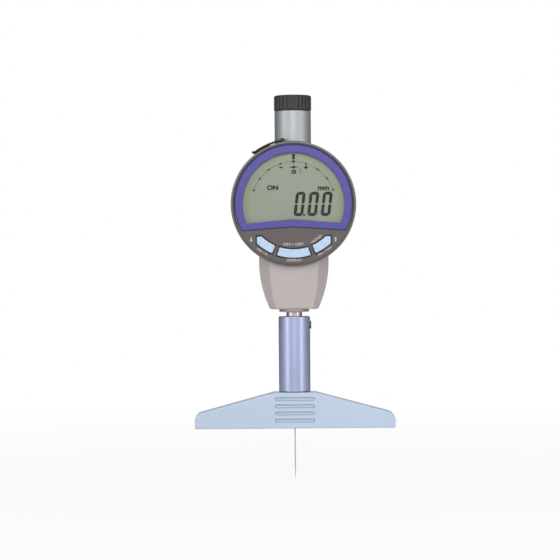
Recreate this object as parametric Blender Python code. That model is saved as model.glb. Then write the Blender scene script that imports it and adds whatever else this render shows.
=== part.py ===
"""Digital depth gauge: an indicator head on a clamped stem, over a wide measuring base.

The origin is on the base's measuring face at the spindle's axis. +Z runs up the spindle and the
display faces -Y. Every length is in metres. Everything along Y is stacked outwards from the
spindle, and everything along Z is stacked upwards from the base.
"""

import math

import bmesh
import bpy
from mathutils import Matrix, Vector

# Clearances shared by all the pieces
SEAT_GAP = 0.0003
RUNNING_GAP = 0.0002
CUT_OVERRUN = 0.001
MERGE_DISTANCE = 0.0000001

# Spindle and its travel
SPINDLE_TRAVEL = 0.026
SPINDLE_RADIUS = 0.002
SPINDLE_FOOT = 0.013
NEEDLE_REST_SHORTFALL = 0.0004
COLLAR_HEIGHT = 0.0024
COLLAR_WALL = 0.0007
HOLDER_LENGTH = 0.0072
HOLDER_NOSE_RADIUS = 0.0012
HOLDER_NOSE_LENGTH = 0.0016
HOLDER_STUD_RADIUS = 0.00125
HOLDER_STUD_LENGTH = 0.005
NEEDLE_RADIUS = 0.0003
NEEDLE_TIP_RADIUS = 0.00008
NEEDLE_TAPER = 0.0076
NEEDLE_ROOT = 0.0032

# Measuring base
BASE_WIDTH = 0.1015
BASE_DEPTH = 0.016
BASE_HEIGHT = 0.0182
BASE_TOP_WIDTH = 0.021
BASE_END_HEIGHT = 0.0073
BASE_CORNER_RADIUS = 0.004
BASE_FOOT_RADIUS = 0.0008
BASE_FLOOR = 0.003
BASE_WAY_RADIUS = 0.004
BASE_HOLE_GAP = 0.0004
GRIP_SLOT_COUNT = 4
GRIP_SLOT_WIDTH = 0.0203
GRIP_SLOT_HEIGHT = 0.0019
GRIP_SLOT_PITCH = 0.0036
GRIP_SLOT_DEPTH = 0.0007
GRIP_SLOT_DROP = 0.00335
GRIP_SLOT_ROUND_SHARE = 0.995

# Sleeve, clamp screw and stem
SLEEVE_RADIUS = 0.008
SLEEVE_LENGTH = 0.0382
SLEEVE_CHAMFER = 0.0005
SLEEVE_SPIGOT_RADIUS = 0.006
SLEEVE_SPIGOT_LENGTH = 0.0122
CLAMP_RADIUS = 0.002
CLAMP_POINT_LENGTH = 0.0006
CLAMP_PROUD = 0.0006
CLAMP_DROP = 0.0045
CLAMP_SOCKET_RADIUS = 0.00115
CLAMP_SOCKET_DEPTH = 0.0018
STEM_RADIUS = 0.004
STEM_WALL = 0.0008
STEM_REACH = 0.0249
STEM_CHAMFER = 0.0003
STEM_NECK = 0.0022
STEM_FLANGE_RADIUS = 0.0076
STEM_FLANGE_THICKNESS = 0.0011
STEM_ROOT = 0.0137
BUSH_INSET = 0.0004
LOWER_BUSH_LENGTH = 0.0076

# Casing: the drum and its tail
CASING_RADIUS = 0.03165
TAIL_SHOWN_HEIGHT = 0.02155
CASING_RIM_WALL = 0.00165
CASING_WALL = 0.00415
CASING_EDGE = 0.0005
CASING_FLANGE_THICKNESS = 0.001
TAIL_CURVE_HEIGHT = 0.0237
TAIL_HEIGHT = 0.0297
TAIL_FOOT_WIDTH = 0.0244
TAIL_TOP_WIDTH = 0.0352
TAIL_PANEL_FOOT_WIDTH = 0.0186
TAIL_PANEL_TOP_WIDTH = 0.0248
TAIL_FOOT_DEPTH = 0.0152
TAIL_TOP_DEPTH = 0.0192
TAIL_FOOT_EDGE = 0.0005
TAIL_SIDE_DEPTH_SHARE = 0.42
TAIL_RING_SHARES = (0.12, 0.26, 0.42, 0.6, 0.8, 1.0)
BOSS_HALF_WIDTH = 0.0055
BOSS_WALL = 0.0006
BOSS_DROP = 0.009
BOSS_LIP = 0.0007
BOSS_LIP_RADIUS = 0.0026
UPPER_BUSH_WALL = 0.0008
UPPER_BUSH_LENGTH = 0.0055

# Spindle tube and screw cap
TUBE_RADIUS = 0.00925
TUBE_BORE_RADIUS = 0.006
TUBE_SHANK_RADIUS = 0.0046
TUBE_SHANK_WALL = 0.0012
TUBE_SHANK_FLOOR = 0.0008
TUBE_NECK_RADIUS = 0.0075
TUBE_NECK_LENGTH = 0.0047
CAP_RADIUS = 0.0095
CAP_HEIGHT = 0.0077
CAP_TOP_WALL = 0.0013
CAP_CROWN_EDGE = 0.0007
CAP_NECK_GAP = 0.0004
CAP_FLUTE_COUNT = 26
CAP_FLUTE_DEPTH = 0.00035
CAP_LAND_END_SHARE = 0.5
CAP_VALLEY_START_SHARE = 0.65
CAP_VALLEY_END_SHARE = 0.85
CAP_SEAL_RADIUS = 0.0003
CAP_SEAL_RISE = 0.0016

# Carriage, scale and spring inside the drum
CARRIAGE_HEIGHT = 0.007
CARRIAGE_HALF_WIDTH = 0.0045
CARRIAGE_FRONT_DEPTH = 0.0032
CARRIAGE_BACK_DEPTH = 0.0041
CARRIAGE_ARM_GAP = 0.0008
GUIDE_ROD_RADIUS = 0.0012
GUIDE_ROD_OFFSET = 0.0095
GUIDE_ROD_SEAT = 0.0017
GUIDE_FORK_WALL = 0.0014
SCALE_WIDTH = 0.008
SCALE_LENGTH = 0.019
SCALE_THICKNESS = 0.0008
SCALE_OVERHANG = 0.002
READ_HEAD_WIDTH = 0.012
READ_HEAD_LENGTH = 0.019
READ_HEAD_THICKNESS = 0.0014
SENSOR_BOARD_WIDTH = 0.028
SENSOR_BOARD_LENGTH = 0.027
SENSOR_BOARD_THICKNESS = 0.001
POST_SPREAD = 0.022
POST_RADIUS = 0.0016
POST_LENGTH = 0.0028
BOARD_SCREW_RADIUS = 0.0006
BOARD_SCREW_HEAD_RADIUS = 0.0014
BOARD_SCREW_HEAD_HEIGHT = 0.0006
BOARD_SCREW_BITE = 0.0016
SPRING_COIL_RADIUS = 0.003
SPRING_WIRE_RADIUS = 0.00024
SPRING_TURNS = 10

# Back cover
COVER_THICKNESS = 0.0016
COVER_INSET = 0.0003
COVER_EDGE = 0.0006
COVER_SPIGOT_LENGTH = 0.0018
COVER_SPIGOT_WALL = 0.0017
BACK_SCREW_COUNT = 4
BACK_SCREW_INSET = 0.0017
BACK_SCREW_RADIUS = 0.0008
BACK_SCREW_LENGTH = 0.005
BACK_SCREW_HEAD_RADIUS = 0.0013
BACK_SCREW_HEAD_HEIGHT = 0.0008

# Display unit, from its hub outwards to the face
HUB_MARGIN = 0.0033
HUB_WALL = 0.0015
HUB_LIP = 0.0003
CIRCLIP_DEPTH = 0.0005
CIRCLIP_THICKNESS = 0.0006
CIRCLIP_WIDTH = 0.0018
CIRCLIP_PLAY = 0.0001
CIRCLIP_OPENING = 40.0
BACKPLATE_THICKNESS = 0.00125
CELL_RADIUS = 0.01
CELL_THICKNESS = 0.0032
CELL_RISE = 0.003
CELL_EDGE = 0.0004
CONTACT_THICKNESS = 0.00025
CONTACT_WIDTH = 0.005
CONTACT_REACH = 0.008
CONTACT_FOOT = 0.0032
BOARD_THICKNESS = 0.0008
LCD_THICKNESS = 0.0013
FACE_PLATE = 0.002
BEZEL_SETBACK = 0.00105
BEZEL_THICKNESS = 0.0042
BEZEL_EDGE = 0.0004
SPIGOT_WALL = 0.0015
SEAL_RADIUS = 0.0004
SEAL_GROOVE_WIDTH = 0.0014
SEAL_GROOVE_DEPTH = 0.0008
SEAL_SETBACK = 0.0024

# Window and its frame
FRAME_MARGIN = 0.0013
FRAME_WIDTH = 0.0038
WINDOW_DROP_SHARE = 0.3137
WINDOW_SILL_SLOPE = 5.0
FRAME_BAR_HEIGHT = 0.0037
FRAME_BAR_SLOPE = 4.0
FRAME_SUNK = 0.0006
FRAME_PROUD = 0.0007
WINDOW_LAP = 0.0007
WINDOW_THICKNESS = 0.0012
LCD_LAP = 0.0006

# Keys
KEY_WIDTH = 0.0043
KEY_CORNER_DROP_SHARE = 0.7174
KEY_CORNER_REACH_SHARE = 0.6777
KEY_PROUD = 0.0004
KEY_TRAVEL = 0.0004
KEY_FLANGE = 0.0003
KEY_FLANGE_THICKNESS = 0.0004
KEY_MAT_THICKNESS = 0.0004
KEY_MAT_MARGIN = 0.0009
CENTRE_KEY_SPAN = 36.0
SIDE_KEY_START = 23.75
KEY_MAT_SPAN = 96.0

# Port, its cover and its pin, at the upper left of the rim
COVER_PIVOT_ANGLE = 9.5
COVER_DOOR_START = 21.0
COVER_DOOR_END = 37.5
COVER_LIP_END = 39.5
COVER_SKIN = 0.00105
COVER_LIP_RISE = 0.0006
STRAP_FRONT_SETBACK = 0.0011
STRAP_WIDTH = 0.0017
KNUCKLE_WALL = 0.0004
COVER_PIN_RADIUS = 0.00035
LUG_THICKNESS = 0.0008
PORT_ANGLE = 29.5
PORT_WIDTH = 0.0072
PORT_DEPTH = 0.0036
PORT_SETBACK = 0.0008
PLUG_GAP = 0.00035
PLUG_LENGTH = 0.0008
DOOR_MARGIN = 0.0012
SOCKET_FLANGE = 0.001
SOCKET_FLANGE_THICKNESS = 0.0008
SOCKET_RECESS = 0.0016
SOCKET_WALL = 0.0007

# Facets round each kind of piece
LARGE_SIDES = 48
MEDIUM_SIDES = 28
SMALL_SIDES = 18
TINY_SIDES = 12
SEAL_SECTION_SIDES = 6
CORNER_STEPS = 3

# Heights, from the base upwards
SLEEVE_SEAT = BASE_HEIGHT + SEAT_GAP
SLEEVE_TOP = SLEEVE_SEAT + SLEEVE_LENGTH
SLEEVE_FOOT = SLEEVE_SEAT - SLEEVE_SPIGOT_LENGTH
CLAMP_HEIGHT = SLEEVE_TOP - CLAMP_DROP
FLANGE_UNDERSIDE = SLEEVE_TOP + STEM_NECK
FLANGE_TOP = FLANGE_UNDERSIDE + STEM_FLANGE_THICKNESS
STEM_FOOT = FLANGE_UNDERSIDE - STEM_REACH
TAIL_FOOT = FLANGE_TOP + SEAT_GAP
STEM_TOP = TAIL_FOOT + STEM_ROOT
FACE_HEIGHT = TAIL_FOOT + TAIL_SHOWN_HEIGHT + CASING_RADIUS
CAVITY_RADIUS = CASING_RADIUS - CASING_WALL
RIM_BORE_RADIUS = CASING_RADIUS - CASING_RIM_WALL
CAVITY_TOP = FACE_HEIGHT + CAVITY_RADIUS
BOSS_FOOT = CAVITY_TOP - BOSS_DROP
UPPER_BUSH_FOOT = BOSS_FOOT + BOSS_LIP + SEAT_GAP
UPPER_BUSH_TOP = UPPER_BUSH_FOOT + UPPER_BUSH_LENGTH
COLLAR_FOOT = UPPER_BUSH_TOP + SEAT_GAP
SPINDLE_TOP = COLLAR_FOOT + COLLAR_HEIGHT
CASING_TOP = FACE_HEIGHT + CASING_RADIUS
TUBE_FOOT = CAVITY_TOP + TUBE_SHANK_FLOOR + SEAT_GAP
CAP_CEILING = SPINDLE_TOP + SPINDLE_TRAVEL + SEAT_GAP
CAP_TOP = CAP_CEILING + CAP_TOP_WALL
CAP_FOOT = CAP_TOP - CAP_HEIGHT
TUBE_SHOULDER = CAP_FOOT - SEAT_GAP
TUBE_TOP = TUBE_SHOULDER + TUBE_NECK_LENGTH
HOLDER_TOP = SPINDLE_FOOT - SEAT_GAP
HOLDER_FOOT = HOLDER_TOP - HOLDER_LENGTH
NEEDLE_TIP = NEEDLE_REST_SHORTFALL - SPINDLE_TRAVEL

# Radii that seat on one another round the spindle
SPINDLE_WAY_RADIUS = SPINDLE_RADIUS + RUNNING_GAP
STEM_BORE_RADIUS = STEM_RADIUS - STEM_WALL
STEM_SEAT_RADIUS = STEM_RADIUS + SEAT_GAP
LOWER_BUSH_RADIUS = STEM_BORE_RADIUS - RUNNING_GAP
UPPER_BUSH_RADIUS = SPINDLE_WAY_RADIUS + UPPER_BUSH_WALL
BOSS_BORE_RADIUS = UPPER_BUSH_RADIUS + RUNNING_GAP
COLLAR_RADIUS = SPINDLE_WAY_RADIUS + COLLAR_WALL
CAP_BORE_RADIUS = TUBE_NECK_RADIUS + CAP_NECK_GAP

# Depths of the display unit, from the boss in front of the spindle outwards to the face
BOSS_FRONT = -(BOSS_BORE_RADIUS + BOSS_WALL)
HUB_END = BOSS_FRONT - SEAT_GAP
CLIP_BACK = HUB_END - HUB_LIP - CIRCLIP_PLAY
CLIP_FRONT = CLIP_BACK - CIRCLIP_THICKNESS
FLANGE_BACK = CLIP_FRONT - SEAT_GAP
FLANGE_FRONT = FLANGE_BACK - CASING_FLANGE_THICKNESS
SPIGOT_END = FLANGE_FRONT - SEAT_GAP
BACKPLATE_FRONT = SPIGOT_END - BACKPLATE_THICKNESS
CONTACT_BACK = BACKPLATE_FRONT - SEAT_GAP
CONTACT_FRONT = CONTACT_BACK - CONTACT_THICKNESS
CELL_BACK = CONTACT_FRONT - SEAT_GAP
CELL_FRONT = CELL_BACK - CELL_THICKNESS
BOARD_BACK = CELL_FRONT - SEAT_GAP
BOARD_FRONT = BOARD_BACK - BOARD_THICKNESS
LCD_BACK = BOARD_FRONT - SEAT_GAP
LCD_FRONT = LCD_BACK - LCD_THICKNESS
PLATE_BACK = LCD_FRONT - SEAT_GAP
BEZEL_FRONT = PLATE_BACK - FACE_PLATE
BEZEL_BACK = BEZEL_FRONT + BEZEL_THICKNESS
CASING_FRONT = BEZEL_BACK + SEAT_GAP
FRAME_BACK = BEZEL_FRONT + FRAME_SUNK - SEAT_GAP
FRAME_FRONT = BEZEL_FRONT - FRAME_PROUD
WINDOW_FRONT = FRAME_BACK + SEAT_GAP
WINDOW_BACK = WINDOW_FRONT + WINDOW_THICKNESS

# Radii of the display unit, inwards from the casing
HUB_RADIUS = CAVITY_RADIUS - HUB_MARGIN
SPIGOT_RADIUS = RIM_BORE_RADIUS - SEAT_GAP
HOUSING_BORE_RADIUS = SPIGOT_RADIUS - SPIGOT_WALL
INNER_DISC_RADIUS = HOUSING_BORE_RADIUS - SEAT_GAP
BEZEL_RADIUS = CASING_RADIUS - BEZEL_SETBACK
FRAME_RADIUS = BEZEL_RADIUS - FRAME_MARGIN
WINDOW_RADIUS = FRAME_RADIUS - FRAME_WIDTH
WINDOW_DROP = WINDOW_RADIUS * WINDOW_DROP_SHARE
KEY_OUTER_RADIUS = INNER_DISC_RADIUS - SEAT_GAP - KEY_FLANGE
KEY_INNER_RADIUS = KEY_OUTER_RADIUS - KEY_WIDTH
KEY_CORNER_DROP = KEY_INNER_RADIUS * KEY_CORNER_DROP_SHARE
KEY_CORNER_REACH = KEY_OUTER_RADIUS * KEY_CORNER_REACH_SHARE

# Depths behind the spindle, out to the back cover
BOSS_BACK = CARRIAGE_BACK_DEPTH
SCALE_FRONT = CARRIAGE_BACK_DEPTH + SEAT_GAP
SCALE_BACK = SCALE_FRONT + SCALE_THICKNESS
READ_HEAD_FRONT = SCALE_BACK + SEAT_GAP
READ_HEAD_BACK = READ_HEAD_FRONT + READ_HEAD_THICKNESS
SENSOR_BOARD_FRONT = READ_HEAD_BACK + SEAT_GAP
SENSOR_BOARD_BACK = SENSOR_BOARD_FRONT + SENSOR_BOARD_THICKNESS
POST_END = SENSOR_BOARD_BACK + SEAT_GAP
COVER_FRONT = POST_END + POST_LENGTH
COVER_BACK = COVER_FRONT + COVER_THICKNESS
CASING_BACK = COVER_FRONT - SEAT_GAP
BACK_SCREW_CIRCLE = CAVITY_RADIUS + BACK_SCREW_INSET

# Heights of the carriage and what rides on it
ARM_REACH = GUIDE_ROD_OFFSET + GUIDE_ROD_RADIUS + GUIDE_FORK_WALL
CARRIAGE_FOOT = FACE_HEIGHT - math.sqrt((CAVITY_RADIUS - CARRIAGE_ARM_GAP) ** 2 - ARM_REACH**2)
CARRIAGE_TOP = CARRIAGE_FOOT + CARRIAGE_HEIGHT
SCALE_FOOT = CARRIAGE_FOOT - SCALE_OVERHANG
READ_HEAD_MIDDLE = SCALE_FOOT + (SCALE_LENGTH + SPINDLE_TRAVEL) / 2

# Port cover places round the rim
RIM_GAP_RADIUS = CASING_RADIUS + SEAT_GAP
COVER_OUTER_RADIUS = RIM_GAP_RADIUS + COVER_SKIN
PIN_WAY_RADIUS = COVER_PIN_RADIUS + RUNNING_GAP
KNUCKLE_RADIUS = PIN_WAY_RADIUS + KNUCKLE_WALL
PIVOT_RADIUS = CASING_RADIUS + RUNNING_GAP + KNUCKLE_RADIUS
STRAP_FRONT = CASING_FRONT + STRAP_FRONT_SETBACK
STRAP_BACK = STRAP_FRONT + STRAP_WIDTH
LUG_FRONT = STRAP_BACK + RUNNING_GAP
LUG_BACK = LUG_FRONT + LUG_THICKNESS
PORT_FRONT = FLANGE_BACK + PORT_SETBACK
PORT_BACK = PORT_FRONT + PORT_DEPTH
DOOR_BACK = PORT_BACK + DOOR_MARGIN
PLUG_FOOT_RADIUS = CASING_RADIUS - PLUG_LENGTH

# The casing's many crossing cuts lose a facet under the exact solver at some sizes
SOLVERS = {"casing": "MANIFOLD"}

frame_places = {None: Vector()}


def srgb(red, green, blue):
    """A colour given in 0-255 steps, as the linear values that a shader takes."""
    shares = (value / 255 for value in (red, green, blue))
    return tuple(((share + 0.055) / 1.055) ** 2.4 if share > 0.04045 else share / 12.92 for share in shares)


def finish(name, colour, roughness, metallic=0.0, alpha=1.0):
    material = bpy.data.materials.new(name)
    material.use_nodes = True
    shader = material.node_tree.nodes["Principled BSDF"]
    shader.inputs["Base Color"].default_value = (*colour, 1.0)
    shader.inputs["Roughness"].default_value = roughness
    shader.inputs["Metallic"].default_value = metallic
    shader.inputs["Alpha"].default_value = alpha
    material.diffuse_color = (*colour, alpha)
    return material


def axis_frame(name, place, parent=None):
    """An empty on a joint's axis, which carries the pieces that move about it."""
    empty = bpy.data.objects.new(name, None)
    bpy.context.scene.collection.objects.link(empty)
    frame_places[empty.name] = Vector(place)
    empty.empty_display_size = SLEEVE_RADIUS
    if parent:
        empty.parent = parent
    empty.location = Vector(place) - frame_places[parent.name if parent else None]
    return empty


def piece(name, shape, material, parent, place=(0, 0, 0)):
    """Makes an object of a mesh given in the gauge's own frame, with its origin at place."""
    bmesh.ops.remove_doubles(shape, verts=shape.verts, dist=MERGE_DISTANCE)
    bmesh.ops.recalc_face_normals(shape, faces=shape.faces)
    bmesh.ops.translate(shape, verts=shape.verts, vec=-Vector(place))
    mesh = bpy.data.meshes.new(name)
    shape.to_mesh(mesh)
    shape.free()
    mesh.shade_smooth()
    mesh.set_sharp_from_angle(angle=math.radians(30))
    made = bpy.data.objects.new(name, mesh)
    bpy.context.scene.collection.objects.link(made)
    made.data.materials.append(material)
    made.parent = parent
    made.location = Vector(place) - frame_places[parent.name if parent else None]
    return made


def helper(name, shape):
    """A solid that only cuts or builds up another one."""
    made = piece(name, shape, helper_finish, None)
    made.hide_render = True
    made.display_type = "WIRE"
    return made


def combine(target, operation, name, shape):
    modifier = target.modifiers.new(name, "BOOLEAN")
    modifier.operation = operation
    modifier.solver = SOLVERS.get(target.name, "EXACT")
    modifier.object = helper(f"{target.name}_{name}", shape)


def cut(target, name, shape):
    combine(target, "DIFFERENCE", name, shape)


def add(target, name, shape):
    combine(target, "UNION", name, shape)


def turned(profile, sides, axis="Z", centre=(0, 0, 0), sweep=360.0):
    """Spins a profile of (radius, place along the axis) points into a solid."""
    shape = bmesh.new()
    points = [shape.verts.new((radius, 0, along)) for radius, along in profile]
    closed = profile[0][0] > 0 or profile[-1][0] > 0
    pairs = list(zip(points, points[1:]))
    if closed:
        pairs.append((points[-1], points[0]))
    edges = [shape.edges.new(pair) for pair in pairs]
    whole = sweep >= 360
    if not whole:
        shape.faces.new(points)
    bmesh.ops.spin(
        shape,
        geom=shape.faces[:] + edges + points,
        cent=(0, 0, 0),
        axis=(0, 0, 1),
        angle=math.radians(sweep),
        steps=sides,
        use_merge=whole,
    )
    turn = {"X": Matrix.Rotation(math.pi / 2, 4, "Y"), "Y": Matrix.Rotation(-math.pi / 2, 4, "X")}
    place = Matrix.Translation(centre) @ turn.get(axis, Matrix())
    bmesh.ops.transform(shape, matrix=place, verts=shape.verts)
    return shape


def ring_of(outline, axis, along):
    """The points of a flat outline, in the gauge's frame, at one place along an axis."""
    if axis == "Y":
        return [(across, along, up) for across, up in outline]
    if axis == "X":
        return [(along, across, up) for across, up in outline]
    return [(across, deep, along) for across, deep in outline]


def lofted(rings):
    """Skins rings of equally many points, and closes both ends."""
    shape = bmesh.new()
    loops = [[shape.verts.new(point) for point in ring] for ring in rings]
    for low, high in zip(loops, loops[1:]):
        for start, end in zip(range(len(low)), [*range(1, len(low)), 0]):
            shape.faces.new((low[start], low[end], high[end], high[start]))
    shape.faces.new(loops[0][::-1])
    shape.faces.new(loops[-1])
    return shape


def prism(outline, axis, low, high):
    return lofted([ring_of(outline, axis, low), ring_of(outline, axis, high)])


def arc(radius, first, last, steps, centre=(0.0, 0.0)):
    """Points on a circle, in degrees counted from straight down towards +X."""
    angles = (math.radians(first + (last - first) * step / steps) for step in range(steps + 1))
    return [
        (centre[0] + radius * math.sin(angle), centre[1] - radius * math.cos(angle)) for angle in angles
    ]


def rounded(corners, steps=CORNER_STEPS):
    """Rounds each corner of an outline: the corners are (across, up, radius)."""
    outline = []
    for index, (across, up, radius) in enumerate(corners):
        corner = Vector((across, up))
        if radius == 0:
            outline.append(tuple(corner))
            continue
        before = (Vector(corners[index - 1][:2]) - corner).normalized()
        after = (Vector(corners[(index + 1) % len(corners)][:2]) - corner).normalized()
        half = before.angle(after) / 2
        centre = corner + (before + after).normalized() * (radius / math.sin(half))
        first = corner + before * (radius / math.tan(half)) - centre
        last = corner + after * (radius / math.tan(half)) - centre
        sweep = first.angle_signed(last)
        for step in range(steps + 1):
            turned_by = Matrix.Rotation(-sweep * step / steps, 2)
            outline.append(tuple(centre + turned_by @ first))
    return outline


def rectangle(half_width, half_height, radius=0.0, centre=(0.0, 0.0)):
    signs = ((-1, -1), (1, -1), (1, 1), (-1, 1))
    corners = [(centre[0] + x * half_width, centre[1] + y * half_height, radius) for x, y in signs]
    return rounded(corners)


def dome(radius, drop, slope, steps):
    """A disc cut off below by a shallow roof line, drop under its centre at the middle."""
    pitch = math.tan(math.radians(slope))
    spread = 1 + pitch**2
    reach = (-drop * pitch + math.sqrt((drop * pitch) ** 2 - spread * (drop**2 - radius**2))) / spread
    corner = math.degrees(math.atan2(reach, drop + reach * pitch))
    return [*arc(radius, corner, 360 - corner, steps), (0.0, -drop)]


def raised(outline, height=FACE_HEIGHT):
    """Moves an outline drawn about the face's centre up to the face."""
    return [(across, up + height) for across, up in outline]


def mirrored(outline):
    return [(-across, up) for across, up in reversed(outline)]


def turned_about_face(outline, angle):
    """Turns a face outline, drawn straight up from the centre, to an angle left of the top."""
    turn = Matrix.Rotation(math.radians(angle), 2)
    return [tuple(turn @ Vector(point)) for point in outline]


def clear_scene():
    for leftover in list(bpy.data.objects):
        bpy.data.objects.remove(leftover, do_unlink=True)


def make_base(steel):
    half = BASE_WIDTH / 2
    right = [
        (half, 0.0, BASE_FOOT_RADIUS),
        (half, BASE_END_HEIGHT, BASE_CORNER_RADIUS),
        (BASE_TOP_WIDTH / 2, BASE_HEIGHT, 0.0),
    ]
    left = [(-across, up, radius) for across, up, radius in reversed(right)]
    outline = rounded(right + left)
    base = piece("base", prism(outline, "Y", -BASE_DEPTH / 2, BASE_DEPTH / 2), steel, None)
    spigot_floor = SLEEVE_FOOT - SEAT_GAP
    bore = [
        (0.0, -CUT_OVERRUN),
        (NEEDLE_RADIUS + BASE_HOLE_GAP, -CUT_OVERRUN),
        (NEEDLE_RADIUS + BASE_HOLE_GAP, BASE_FLOOR),
        (BASE_WAY_RADIUS, BASE_FLOOR),
        (BASE_WAY_RADIUS, spigot_floor),
        (SLEEVE_SPIGOT_RADIUS + SEAT_GAP, spigot_floor),
        (SLEEVE_SPIGOT_RADIUS + SEAT_GAP, BASE_HEIGHT + CUT_OVERRUN),
        (0.0, BASE_HEIGHT + CUT_OVERRUN),
    ]
    cut(base, "bore", turned(bore, SMALL_SIDES))
    slot_end = GRIP_SLOT_HEIGHT / 2 * GRIP_SLOT_ROUND_SHARE
    for index in range(GRIP_SLOT_COUNT):
        height = BASE_HEIGHT - GRIP_SLOT_DROP - index * GRIP_SLOT_PITCH
        slot = rectangle(GRIP_SLOT_WIDTH / 2, GRIP_SLOT_HEIGHT / 2, slot_end, (0.0, height))
        for side, name in ((-1, "front"), (1, "back")):
            floor = side * (BASE_DEPTH / 2 - GRIP_SLOT_DEPTH)
            mouth = side * (BASE_DEPTH / 2 + CUT_OVERRUN)
            cut(base, f"{name}_slot_{index + 1}", prism(slot, "Y", min(floor, mouth), max(floor, mouth)))


def make_sleeve(steel, black_steel, clamp_frame):
    profile = [
        (STEM_SEAT_RADIUS, SLEEVE_FOOT),
        (SLEEVE_SPIGOT_RADIUS, SLEEVE_FOOT),
        (SLEEVE_SPIGOT_RADIUS, SLEEVE_SEAT),
        (SLEEVE_RADIUS, SLEEVE_SEAT),
        (SLEEVE_RADIUS, SLEEVE_TOP - SLEEVE_CHAMFER),
        (SLEEVE_RADIUS - SLEEVE_CHAMFER, SLEEVE_TOP),
        (STEM_SEAT_RADIUS, SLEEVE_TOP),
    ]
    sleeve = piece("stem_sleeve", turned(profile, MEDIUM_SIDES), steel, None, (0, 0, SLEEVE_SEAT))
    hole = [
        (0.0, STEM_RADIUS / 2),
        (CLAMP_RADIUS + SEAT_GAP, STEM_RADIUS / 2),
        (CLAMP_RADIUS + SEAT_GAP, SLEEVE_RADIUS + CUT_OVERRUN),
        (0.0, SLEEVE_RADIUS + CUT_OVERRUN),
    ]
    centre = (0, 0, CLAMP_HEIGHT)
    cut(sleeve, "clamp_hole", turned(hole, TINY_SIDES, "X", centre))

    tip = STEM_RADIUS + SEAT_GAP
    end = SLEEVE_RADIUS + CLAMP_PROUD
    body = [
        (0.0, tip),
        (CLAMP_RADIUS - CLAMP_POINT_LENGTH, tip),
        (CLAMP_RADIUS, tip + CLAMP_POINT_LENGTH),
        (CLAMP_RADIUS, end - STEM_CHAMFER),
        (CLAMP_RADIUS - STEM_CHAMFER, end),
        (0.0, end),
    ]
    screw = piece("clamp_screw", turned(body, TINY_SIDES, "X", centre), black_steel, clamp_frame, centre)
    socket = [(0.0, end - CLAMP_SOCKET_DEPTH), (CLAMP_SOCKET_RADIUS, end - CLAMP_SOCKET_DEPTH)]
    socket += [(CLAMP_SOCKET_RADIUS, end + CUT_OVERRUN), (0.0, end + CUT_OVERRUN)]
    cut(screw, "socket", turned(socket, 6, "X", centre))


def make_stem(steel, bronze, head):
    profile = [
        (STEM_BORE_RADIUS, STEM_FOOT),
        (STEM_RADIUS - STEM_CHAMFER, STEM_FOOT),
        (STEM_RADIUS, STEM_FOOT + STEM_CHAMFER),
        (STEM_RADIUS, FLANGE_UNDERSIDE),
        (STEM_FLANGE_RADIUS, FLANGE_UNDERSIDE),
        (STEM_FLANGE_RADIUS, FLANGE_TOP),
        (STEM_RADIUS, FLANGE_TOP),
        (STEM_RADIUS, STEM_TOP),
        (STEM_BORE_RADIUS, STEM_TOP),
    ]
    piece("stem", turned(profile, MEDIUM_SIDES), steel, head, (0, 0, FLANGE_TOP))
    foot = STEM_FOOT + BUSH_INSET
    bush = [
        (SPINDLE_WAY_RADIUS, foot),
        (LOWER_BUSH_RADIUS, foot),
        (LOWER_BUSH_RADIUS, foot + LOWER_BUSH_LENGTH),
        (SPINDLE_WAY_RADIUS, foot + LOWER_BUSH_LENGTH),
    ]
    piece("lower_bush", turned(bush, SMALL_SIDES), bronze, head, (0, 0, foot))


def tail_ring(share, height, inset=0.0):
    """One eight-cornered section of the tail, share of the way up its curve."""
    swell = 1 - (1 - share) ** 2
    half = (TAIL_FOOT_WIDTH + (TAIL_TOP_WIDTH - TAIL_FOOT_WIDTH) * swell) / 2 - inset
    panel = (TAIL_PANEL_FOOT_WIDTH + (TAIL_PANEL_TOP_WIDTH - TAIL_PANEL_FOOT_WIDTH) * share) / 2 - inset
    deep = (TAIL_FOOT_DEPTH + (TAIL_TOP_DEPTH - TAIL_FOOT_DEPTH) * share) / 2 - inset
    side = deep * TAIL_SIDE_DEPTH_SHARE
    front = [(-half, -side), (-panel, -deep), (panel, -deep), (half, -side)]
    back = [(half, side), (panel, deep), (-panel, deep), (-half, side)]
    return ring_of(front + back, "Z", height)


def casing_void():
    """The display's bore, the flange's bore and the cavity behind it, as one turned solid."""
    front = CASING_FRONT - CUT_OVERRUN
    back = CASING_BACK + CUT_OVERRUN
    profile = [
        (0.0, front),
        (RIM_BORE_RADIUS, front),
        (RIM_BORE_RADIUS, FLANGE_FRONT),
        (HUB_RADIUS + SEAT_GAP, FLANGE_FRONT),
        (HUB_RADIUS + SEAT_GAP, FLANGE_BACK),
        (CAVITY_RADIUS, FLANGE_BACK),
        (CAVITY_RADIUS, back),
        (0.0, back),
    ]
    return turned(profile, LARGE_SIDES, "Y", (0, 0, FACE_HEIGHT))


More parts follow.
